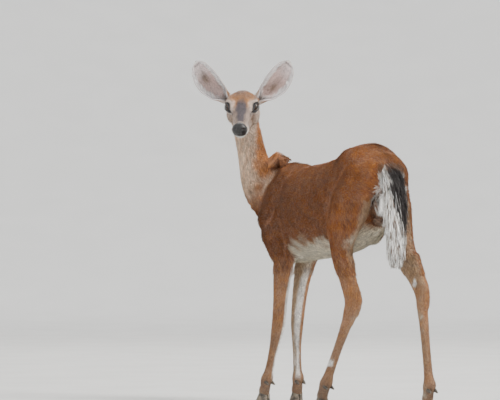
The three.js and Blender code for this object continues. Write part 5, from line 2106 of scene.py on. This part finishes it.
class Wiring:
    """Lays out and links shader nodes in one tree."""

    def __init__(self, tree: bpy.types.NodeTree) -> None:
        """Starts on an empty tree."""
        self.tree = tree
        tree.nodes.clear()

    def node(self, kind: str, **values: object) -> bpy.types.Node:
        """A new node with these properties."""
        made = self.tree.nodes.new(kind)
        for name, value in values.items():
            setattr(made, name, value)
        return made

    def feed(self, socket: bpy.types.NodeSocket, value: object) -> None:
        """Links a socket to another, or sets its value."""
        if isinstance(value, bpy.types.NodeSocket):
            self.tree.links.new(value, socket)
        elif isinstance(value, (tuple, list)) and len(value) == 3 and socket.type == "RGBA":
            socket.default_value = (*value, 1.0)
        else:
            socket.default_value = value

    def maths(self, operation: str, a: object, b: object = 0.0, c: object = 0.0) -> bpy.types.NodeSocket:
        """One sum on numbers."""
        made = self.node("ShaderNodeMath", operation=operation)
        for socket, value in zip(made.inputs, (a, b, c)):
            self.feed(socket, value)
        return made.outputs[0]

    def mix(self, share: object, a: object, b: object, blend: str = "MIX") -> bpy.types.NodeSocket:
        """Two colours mixed by a share."""
        made = self.node("ShaderNodeMix", data_type="RGBA", blend_type=blend)
        self.feed(made.inputs[0], share)
        self.feed(made.inputs[6], a)
        self.feed(made.inputs[7], b)
        return made.outputs[2]

    def span(self, value: object, low: float, high: float, to_low: float, to_high: float) -> bpy.types.NodeSocket:
        """A number carried from one range to another with soft ends."""
        made = self.node("ShaderNodeMapRange", interpolation_type="SMOOTHSTEP")
        for socket, setting in zip(made.inputs, (value, low, high, to_low, to_high)):
            self.feed(socket, setting)
        return made.outputs[0]

    def noise(self, at: object, scale: float, detail: float = 2.0, rough: float = 0.5) -> bpy.types.NodeSocket:
        """Cloudy noise."""
        made = self.node("ShaderNodeTexNoise")
        self.feed(made.inputs["Vector"], at)
        for name, value in (("Scale", scale), ("Detail", detail), ("Roughness", rough)):
            made.inputs[name].default_value = value
        return made.outputs["Fac"]

    def stored(self, name: str, output: str = "Fac") -> bpy.types.NodeSocket:
        """A value stored on the mesh."""
        return self.node("ShaderNodeAttribute", attribute_name=name, attribute_type="GEOMETRY").outputs[output]

    def place(self) -> bpy.types.NodeSocket:
        """The place on the object, in metres."""
        return self.node("ShaderNodeTexCoord").outputs["Object"]

    def bump(self, height: object, strength: float, distance: float) -> bpy.types.NodeSocket:
        """A bump from a height."""
        made = self.node("ShaderNodeBump")
        made.inputs["Strength"].default_value = strength
        made.inputs["Distance"].default_value = distance
        self.feed(made.inputs["Height"], height)
        return made.outputs["Normal"]

    def effect(self, group: bpy.types.NodeTree, **values: object) -> bpy.types.NodeOutputs:
        """A shared effect with its inputs fed."""
        made = self.node("ShaderNodeGroup", node_tree=group)
        for name, value in values.items():
            self.feed(made.inputs[name.replace("_", " ")], value)
        return made.outputs

    def surface(self, **values: object) -> None:
        """The shader itself with its inputs fed, and the output."""
        shader = self.node("ShaderNodeBsdfPrincipled")
        for name, value in values.items():
            self.feed(shader.inputs[name.replace("_", " ")], value)
        out = self.node("ShaderNodeOutputMaterial")
        self.tree.links.new(shader.outputs[0], out.inputs[0])


def shared_effect(name: str, inputs: dict[str, tuple[Kind, object]], outputs: dict[str, Kind]) -> tuple:
    """Starts a shared effect.

    Args:
        name: its name.
        inputs: the kind and first value of each input.
        outputs: the kind of each output.

    Returns:
        the group, its wiring, its inputs' sockets by name, and the node that its outputs are fed through.
    """
    group = bpy.data.node_groups.new(name, "ShaderNodeTree")
    for label, (kind, value) in inputs.items():
        made = group.interface.new_socket(name=label, in_out="INPUT", socket_type=kind.value)
        made.default_value = value
    for label, kind in outputs.items():
        group.interface.new_socket(name=label, in_out="OUTPUT", socket_type=kind.value)
    wiring = Wiring(group)
    start, end = wiring.node("NodeGroupInput"), wiring.node("NodeGroupOutput")
    return group, wiring, {s.name: s for s in start.outputs}, end


class Effects:
    """The effects that more than one finish uses, each built once."""

    def __init__(self) -> None:
        """Builds every group."""
        self.hair = self.hair_colour()
        self.grain = self.hair_grain()
        self.pebble = self.pebbled_skin()
        self.dust = self.dusting()

    @staticmethod
    def hair_colour() -> bpy.types.NodeTree:
        """Hair from its marking: dark at the root, with a paler band before a dark tip, each strand its own shade."""
        group, w, given, end = shared_effect(
            "summer_hair",
            {
                "Marking": (Kind.COLOUR, (0.3, 0.2, 0.1, 1)),
                "Along": (Kind.VALUE, 0.5),
                "Strand": (Kind.VALUE, 0.5),
                "Place": (Kind.VECTOR, (0, 0, 0)),
                "Contrast": (Kind.VALUE, 1.0),
            },
            {"Colour": Kind.COLOUR, "Roughness": Kind.VALUE},
        )
        root = w.span(given["Along"], 0.0, 0.5, 0.62, 1.0)
        tip = w.span(given["Along"], 0.62, 1.0, 1.0, 0.92)
        shade = w.maths("MULTIPLY", root, tip)
        strand = w.span(given["Strand"], 0.0, 1.0, 0.66, 1.34)
        cloud = w.span(w.noise(given["Place"], 14.0, 3.0, 0.55), 0.3, 0.7, 0.9, 1.1)
        level = w.maths("MULTIPLY", w.maths("MULTIPLY", shade, strand), cloud)
        level = w.maths("ADD", w.maths("MULTIPLY", w.maths("SUBTRACT", level, 1.0), given["Contrast"]), 1.0)
        tone = w.node("ShaderNodeHueSaturation")
        w.feed(tone.inputs["Hue"], w.span(given["Strand"], 0.0, 1.0, 0.492, 0.508))
        w.feed(tone.inputs["Saturation"], w.span(w.noise(given["Place"], 30.0), 0.3, 0.7, 0.93, 1.07))
        w.feed(tone.inputs["Value"], level)
        w.feed(tone.inputs["Color"], given["Marking"])
        rough = w.span(given["Strand"], 0.0, 1.0, 0.5, 0.68)
        w.feed(end.inputs["Colour"], tone.outputs[0])
        w.feed(end.inputs["Roughness"], rough)
        return group

    @staticmethod
    def hair_grain() -> bpy.types.NodeTree:
        """Short hair as a fine pattern drawn out along the lie of the coat."""
        group, w, given, end = shared_effect(
            "hair_grain",
            {"Comb": (Kind.VECTOR, (0, 0, 0)), "Scale": (Kind.VALUE, 1.0)},
            {"Strand": Kind.VALUE, "Along": Kind.VALUE, "Height": Kind.VALUE},
        )
        drawn = w.node("ShaderNodeVectorMath", operation="SCALE")
        w.feed(drawn.inputs[0], given["Comb"])
        w.feed(drawn.inputs["Scale"], given["Scale"])
        fine = w.noise(drawn.outputs[0], 900.0, 2.0, 0.6)
        coarse = w.noise(drawn.outputs[0], 260.0, 2.0, 0.5)
        w.feed(end.inputs["Strand"], w.span(fine, 0.3, 0.7, 0.0, 1.0))
        w.feed(end.inputs["Along"], w.span(coarse, 0.3, 0.7, 0.15, 0.8))
        w.feed(end.inputs["Height"], w.maths("ADD", w.maths("MULTIPLY", fine, 0.6), w.maths("MULTIPLY", coarse, 0.4)))
        return group

    @staticmethod
    def pebbled_skin() -> bpy.types.NodeTree:
        """Bare skin: small rounded pads with fine creases between them, damp on top."""
        group, w, given, end = shared_effect(
            "pebbled_skin",
            {"Place": (Kind.VECTOR, (0, 0, 0)), "Size": (Kind.VALUE, 420.0)},
            {"Colour": Kind.COLOUR, "Height": Kind.VALUE, "Roughness": Kind.VALUE},
        )
        cells = w.node("ShaderNodeTexVoronoi", feature="SMOOTH_F1")
        w.feed(cells.inputs["Vector"], given["Place"])
        w.feed(cells.inputs["Scale"], given["Size"])
        pads = w.span(cells.outputs["Distance"], 0.1, 0.75, 1.0, 0.0)
        mottle = w.noise(given["Place"], 120.0, 3.0)
        shade = w.span(mottle, 0.35, 0.7, 0, 1)
        w.feed(end.inputs["Colour"], w.mix(shade, (0.006, 0.0055, 0.006), (0.018, 0.016, 0.017)))
        w.feed(end.inputs["Height"], pads)
        w.feed(end.inputs["Roughness"], w.span(w.maths("MULTIPLY", pads, mottle), 0.1, 0.6, 0.5, 0.26))
        return group

    @staticmethod
    def dusting() -> bpy.types.NodeTree:
        """Dry dust that settles low down and in patches."""
        group, w, given, end = shared_effect(
            "dry_dust",
            {"Place": (Kind.VECTOR, (0, 0, 0)), "Base": (Kind.COLOUR, (0, 0, 0, 1)), "Amount": (Kind.VALUE, 0.4)},
            {"Colour": Kind.COLOUR, "Mask": Kind.VALUE},
        )
        apart = w.node("ShaderNodeSeparateXYZ")
        w.feed(apart.inputs[0], given["Place"])
        low = w.span(apart.outputs["Z"], 0.0, 0.11, 1.0, 0.0)
        patchy = w.span(w.noise(given["Place"], 70.0, 4.0, 0.6), 0.35, 0.7, 0.0, 1.0)
        mask = w.maths("MULTIPLY", w.maths("MULTIPLY", low, patchy), given["Amount"])
        w.feed(end.inputs["Colour"], w.mix(mask, given["Base"], (0.30, 0.24, 0.17)))
        w.feed(end.inputs["Mask"], mask)
        return group


@dataclass(frozen=True)
class Finish:
    """One material and the constants of its shader."""

    name: str
    effects: Effects

    def start(self) -> tuple[bpy.types.Material, Wiring]:
        """A new material and the wiring of its nodes."""
        material = bpy.data.materials.new(self.name)
        material.use_nodes = True
        return material, Wiring(material.node_tree)


@dataclass(frozen=True)
class CoatFinish(Finish):
    """Tufts of hair."""

    sheen: float = 0.12

    def make(self) -> bpy.types.Material:
        """The material."""
        material, w = self.start()
        hair = w.effect(
            self.effects.hair,
            Marking=w.stored("marking", "Color"),
            Along=w.stored("along"),
            Strand=w.stored("strand"),
            Place=w.place(),
        )
        dusty = w.effect(self.effects.dust, Place=w.place(), Base=hair["Colour"], Amount=0.25)
        w.surface(
            Base_Color=dusty["Colour"],
            Roughness=hair["Roughness"],
            Specular_IOR_Level=0.32,
            Sheen_Weight=self.sheen,
            Sheen_Roughness=0.45,
        )
        return material


@dataclass(frozen=True)
class SkinFinish(Finish):
    """Skin under short hair, and bare where no hair grows."""

    sheen: float = 0.02

    def make(self) -> bpy.types.Material:
        """The material."""
        material, w = self.start()
        grain = w.effect(self.effects.grain, Comb=w.stored("comb", "Vector"), Scale=1.0)
        hair = w.effect(
            self.effects.hair,
            Marking=w.stored("marking", "Color"),
            Along=grain["Along"],
            Strand=grain["Strand"],
            Place=w.place(),
            Contrast=0.9,
        )
        bare = w.effect(self.effects.pebble, Place=w.place(), Size=430.0)
        mask = w.stored("bare")
        colour = w.mix(mask, hair["Colour"], bare["Colour"])
        dusty = w.effect(self.effects.dust, Place=w.place(), Base=colour, Amount=0.25)
        pads = w.maths("MULTIPLY", w.maths("MULTIPLY", bare["Height"], 0.35), mask)
        furred = w.maths("MULTIPLY", grain["Height"], w.maths("SUBTRACT", 1.0, mask))
        rough = w.node("ShaderNodeMix", data_type="FLOAT")
        w.feed(rough.inputs[0], mask)
        w.feed(rough.inputs[2], hair["Roughness"])
        w.feed(rough.inputs[3], bare["Roughness"])
        w.surface(
            Base_Color=dusty["Colour"],
            Roughness=rough.outputs[0],
            Specular_IOR_Level=0.35,
            Sheen_Weight=self.sheen,
            Sheen_Roughness=0.45,
            Coat_Weight=w.maths("MULTIPLY", mask, 0.3),
            Coat_Roughness=0.16,
            Normal=w.bump(w.maths("ADD", pads, furred), 0.7, 0.0012),
        )
        return material


@dataclass(frozen=True)
class EyeFinish(Finish):
    """A wet dark eye: brown iris, long level pupil and a clear cornea over all."""

    def make(self) -> bpy.types.Material:
        """The material."""
        material, w = self.start()
        apart = w.node("ShaderNodeSeparateXYZ")
        gaze = w.node("ShaderNodeVectorMath", operation="MULTIPLY_ADD")
        w.feed(gaze.inputs[0], w.stored("gaze", "Vector"))
        gaze.inputs[1].default_value = (2, 2, 2)
        gaze.inputs[2].default_value = (-1, -1, -1)
        w.feed(apart.inputs[0], gaze.outputs[0])
        x, y = apart.outputs["X"], apart.outputs["Y"]
        off = w.maths("SQRT", w.maths("ADD", w.maths("MULTIPLY", x, x), w.maths("MULTIPLY", y, y)))
        oval = w.maths(
            "SQRT",
            w.maths(
                "ADD",
                w.maths("POWER", w.maths("DIVIDE", x, 0.42), 2.0),
                w.maths("POWER", w.maths("DIVIDE", y, 0.17), 2.0),
            ),
        )
        fibres = w.noise(gaze.outputs[0], 16.0, 4.0, 0.6)
        iris = w.mix(w.span(fibres, 0.3, 0.7, 0, 1), (0.016, 0.008, 0.004), (0.050, 0.024, 0.011))
        iris = w.mix(w.span(off, 0.55, 0.72, 0, 1), iris, (0.008, 0.006, 0.005))
        ball = w.mix(w.span(off, 0.78, 0.9, 0, 1), iris, (0.09, 0.045, 0.03))
        colour = w.mix(w.span(oval, 0.9, 1.08, 1, 0), ball, (0.003, 0.003, 0.004))
        w.surface(
            Base_Color=colour,
            Roughness=w.span(fibres, 0.3, 0.7, 0.1, 0.2),
            Specular_IOR_Level=0.25,
            Coat_Weight=0.45,
            Coat_Roughness=0.02,
            Normal=w.bump(fibres, 0.05, 0.0004),
        )
        return material


@dataclass(frozen=True)
class HornFinish(Finish):
    """Blackish horn with growth rings, worn and dusty towards the ground."""

    def make(self) -> bpy.types.Material:
        """The material."""
        material, w = self.start()
        height = w.stored("height")
        place = w.place()
        waver = w.maths("MULTIPLY", w.noise(place, 60.0, 3.0), 0.2)
        rings = w.maths("SINE", w.maths("MULTIPLY", w.maths("ADD", height, waver), 46.0))
        streaks = w.noise(place, 420.0, 3.0, 0.7)
        colour = w.mix(w.span(streaks, 0.3, 0.7, 0, 1), (0.012, 0.010, 0.009), (0.045, 0.036, 0.029))
        worn = w.mix(w.span(height, 0.0, 0.35, 0.55, 0.0), colour, (0.10, 0.080, 0.060))
        dusty = w.effect(self.effects.dust, Place=place, Base=worn, Amount=0.75)
        level = w.maths("ADD", w.maths("MULTIPLY", rings, 0.3), streaks)
        w.surface(
            Base_Color=dusty["Colour"],
            Roughness=w.maths("ADD", w.span(streaks, 0.3, 0.7, 0.42, 0.6), w.maths("MULTIPLY", dusty["Mask"], 0.25)),
            Specular_IOR_Level=0.45,
            Normal=w.bump(level, 0.45, 0.0006),
        )
        return material


@dataclass(frozen=True)
class FloorFinish(Finish):
    """A plain pale studio floor."""

    def make(self) -> bpy.types.Material:
        """The material."""
        material, w = self.start()
        cloud = w.noise(w.place(), 3.0, 4.0)
        length = w.node("ShaderNodeVectorMath", operation="LENGTH")
        w.feed(length.inputs[0], w.place())
        far = w.span(length.outputs["Value"], 6.0, 12.0, 0.0, 1.0)
        w.surface(
            Base_Color=w.mix(w.span(cloud, 0.3, 0.7, 0, 1), (0.60, 0.60, 0.59), (0.64, 0.64, 0.63)),
            Roughness=0.85,
            Specular_IOR_Level=0.2,
            Emission_Color=w.mix(far, (0.0, 0.0, 0.0), (0.42, 0.42, 0.42)),
            Emission_Strength=1.0,
        )
        return material


# ---------------------------------------------------------------- studio


@dataclass
class Lamp:
    """One soft square light that points at her."""

    name: str
    at: tuple[float, float, float]
    size: float
    power: float
    colour: tuple[float, float, float]

    def build(self) -> bpy.types.Object:
        """The lamp's object."""
        bpy.ops.object.light_add(type="AREA", location=self.at)
        lamp = bpy.context.active_object
        lamp.name = self.name
        lamp.rotation_euler = (Vector((0, 0, 0.6)) - Vector(self.at)).to_track_quat("-Z", "Y").to_euler()
        lamp.data.size, lamp.data.energy, lamp.data.color = self.size, self.power, self.colour
        lamp.visible_camera = False
        return lamp


@dataclass
class Studio:
    """Floor, soft light and the camera."""

    effects: Effects
    flat: float = 9.0
    rim: float = 24.0
    rise: float = 9.0
    eye: tuple[float, float, float] = (-9.2885, 5.7421, 0.56)
    away: tuple[float, float, float] = (0.848048, -0.529919, 0.0)
    right: tuple[float, float, float] = (-0.529919, -0.848048, 0.0)
    focal_px: float = 3135.0
    frame_px: float = 500.0
    aim_px: tuple[float, float] = (-80.0, 45.2)
    sensor: float = 36.0

    def floor(self) -> bpy.types.Object:
        """A round pale floor that turns up in a soft cove all round."""
        around, turns = 96, np.linspace(0, math.pi / 2, 14)
        radii = np.concatenate([[0.02, 3, self.flat], self.flat + (self.rim - self.flat) * np.sin(turns[1:])])
        levels = np.concatenate([[0, 0, 0], self.rise * (1 - np.cos(turns[1:]))])
        angle = 2 * math.pi * np.arange(around) / around
        rows = [
            np.stack([r * np.cos(angle), r * np.sin(angle), np.full(around, z)], 1)
            for r, z in zip(radii, levels)
        ]
        made = mesh_object("floor", np.vstack(rows) * 1000 + CENTRE, ringed_faces(len(rows), around))
        with editing(made):
            bpy.ops.mesh.select_all(action="SELECT")
            bpy.ops.mesh.fill_holes(sides=around)
        made.data.materials.append(FloorFinish("floor", self.effects).make())
        return made

    def camera(self) -> bpy.types.Object:
        """The camera, level with her body and well back."""
        bpy.ops.object.camera_add(location=self.eye)
        camera = bpy.context.active_object
        across, up = self.aim_px
        level = Vector(self.away) + Vector(self.right) * (across / self.focal_px)
        forward = level + Vector((0, 0, up / self.focal_px))
        camera.rotation_euler = forward.to_track_quat("-Z", "Y").to_euler()
        camera.data.sensor_width = self.sensor
        camera.data.lens = self.focal_px / self.frame_px * self.sensor
        camera.data.clip_end = 200
        bpy.context.scene.camera = camera
        return camera

    def build(self) -> None:
        """Sets up the whole studio."""
        floor = self.floor()
        Lamp("key", (-4.6, -3.3, 6.2), 2.6, 900, (1.0, 0.97, 0.93)).build()
        Lamp("fill", (-2.2, 7.0, 3.8), 6.0, 230, (0.93, 0.96, 1.0)).build()
        Lamp("back", (5.5, -3.0, 5.0), 4.0, 260, (1.0, 0.98, 0.96)).build()
        world = bpy.data.worlds.new("studio")
        bpy.context.scene.world = world
        world.use_nodes = True
        backdrop = world.node_tree.nodes["Background"]
        backdrop.inputs["Color"].default_value = (0.80, 0.84, 0.90, 1)
        backdrop.inputs["Strength"].default_value = 0.55
        self.camera()


# ---------------------------------------------------------------- the whole doe


class Doe:
    """Everything that makes up the doe, built in order."""

    def __init__(self, nodes: dict[str, bpy.types.Object]) -> None:
        """Keeps the frame's nodes and prepares form and finishes."""
        self.nodes, self.form, self.effects = nodes, Form(), Effects()
        self.lie, self.markings = Lie(self.form), Markings()
        self.ears = [Ear(side) for side in Side]
        self.horn = HornFinish("horn", self.effects).make()

    def put_markings(self, skin: bpy.types.Object) -> None:
        """Stores the markings, the bare places and the run of the hair on the skin."""
        points = points_of(skin)
        spots = self.lie.spots(points, normals_of(skin))
        put_value(skin, "marking", self.markings.body(spots))
        put_value(skin, "bare", Coat.bare(points))
        put_value(skin, "comb", spots.comb)

    def join_ears(self, skin: bpy.types.Object) -> None:
        """Gives each ear shell its own markings and joins it to the skin."""
        for ear in self.ears:
            shell = ear.build()
            share, swing, inner = ear.places
            put_value(shell, "marking", self.markings.ear(ear, points_of(shell), share, swing, inner))
            put_value(shell, "bare", np.zeros(len(share)))
            put_value(shell, "comb", np.stack([swing * 0.04, inner * 0.1, share * 0.022], 1))
            pick_only(skin, shell)
            bpy.ops.object.join()

    def ride(self, thing: bpy.types.Object, slot: str, *replaced: str) -> None:
        """Sets a piece on the body, hides the nodes it stands for, and reports it."""
        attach(thing, BODY)
        if replaced:
            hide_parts(*replaced)
        LOG.info("%s: %d faces", thing.name, len(thing.data.polygons))

    def build(self) -> None:
        """Builds every piece."""
        maker = Skin(self.form, self.nodes)
        skin = maker.build()
        self.put_markings(skin)
        fur = CoatFinish("coat", self.effects).make()
        Coat(self.lie, self.markings, skin, self.ears, fur).build()
        self.join_ears(skin)
        skin.data.materials.clear()
        skin.data.materials.append(SkinFinish("skin", self.effects).make())
        self.ride(skin, "coat", *maker.replaced)
        gloss = EyeFinish("eye", self.effects).make()
        for side in Side:
            eye = Eye(side).build()
            eye.data.materials.append(gloss)
            self.ride(eye, "eye", f"eye_{side.name.lower()}")
        for leg in LEGS:
            for side in Side:
                claws = {"hoof": Hoof(leg, side).build(), "dewclaw": Dewclaw(leg, side).build(self.form)}
                for node, piece in claws.items():
                    piece.data.materials.append(self.horn)
                    self.ride(piece, "hoof", f"{leg.name.lower()}_{node}_{side.name.lower()}")


def main() -> None:
    """Builds the doe and the studio round it."""
    logging.basicConfig(level=logging.INFO, format="%(message)s")
    bpy.ops.object.select_all(action="DESELECT")
    doe = Doe(frame["nodes"])
    Studio(doe.effects).build()
    doe.build()


if __name__ == "__main__":
    main()
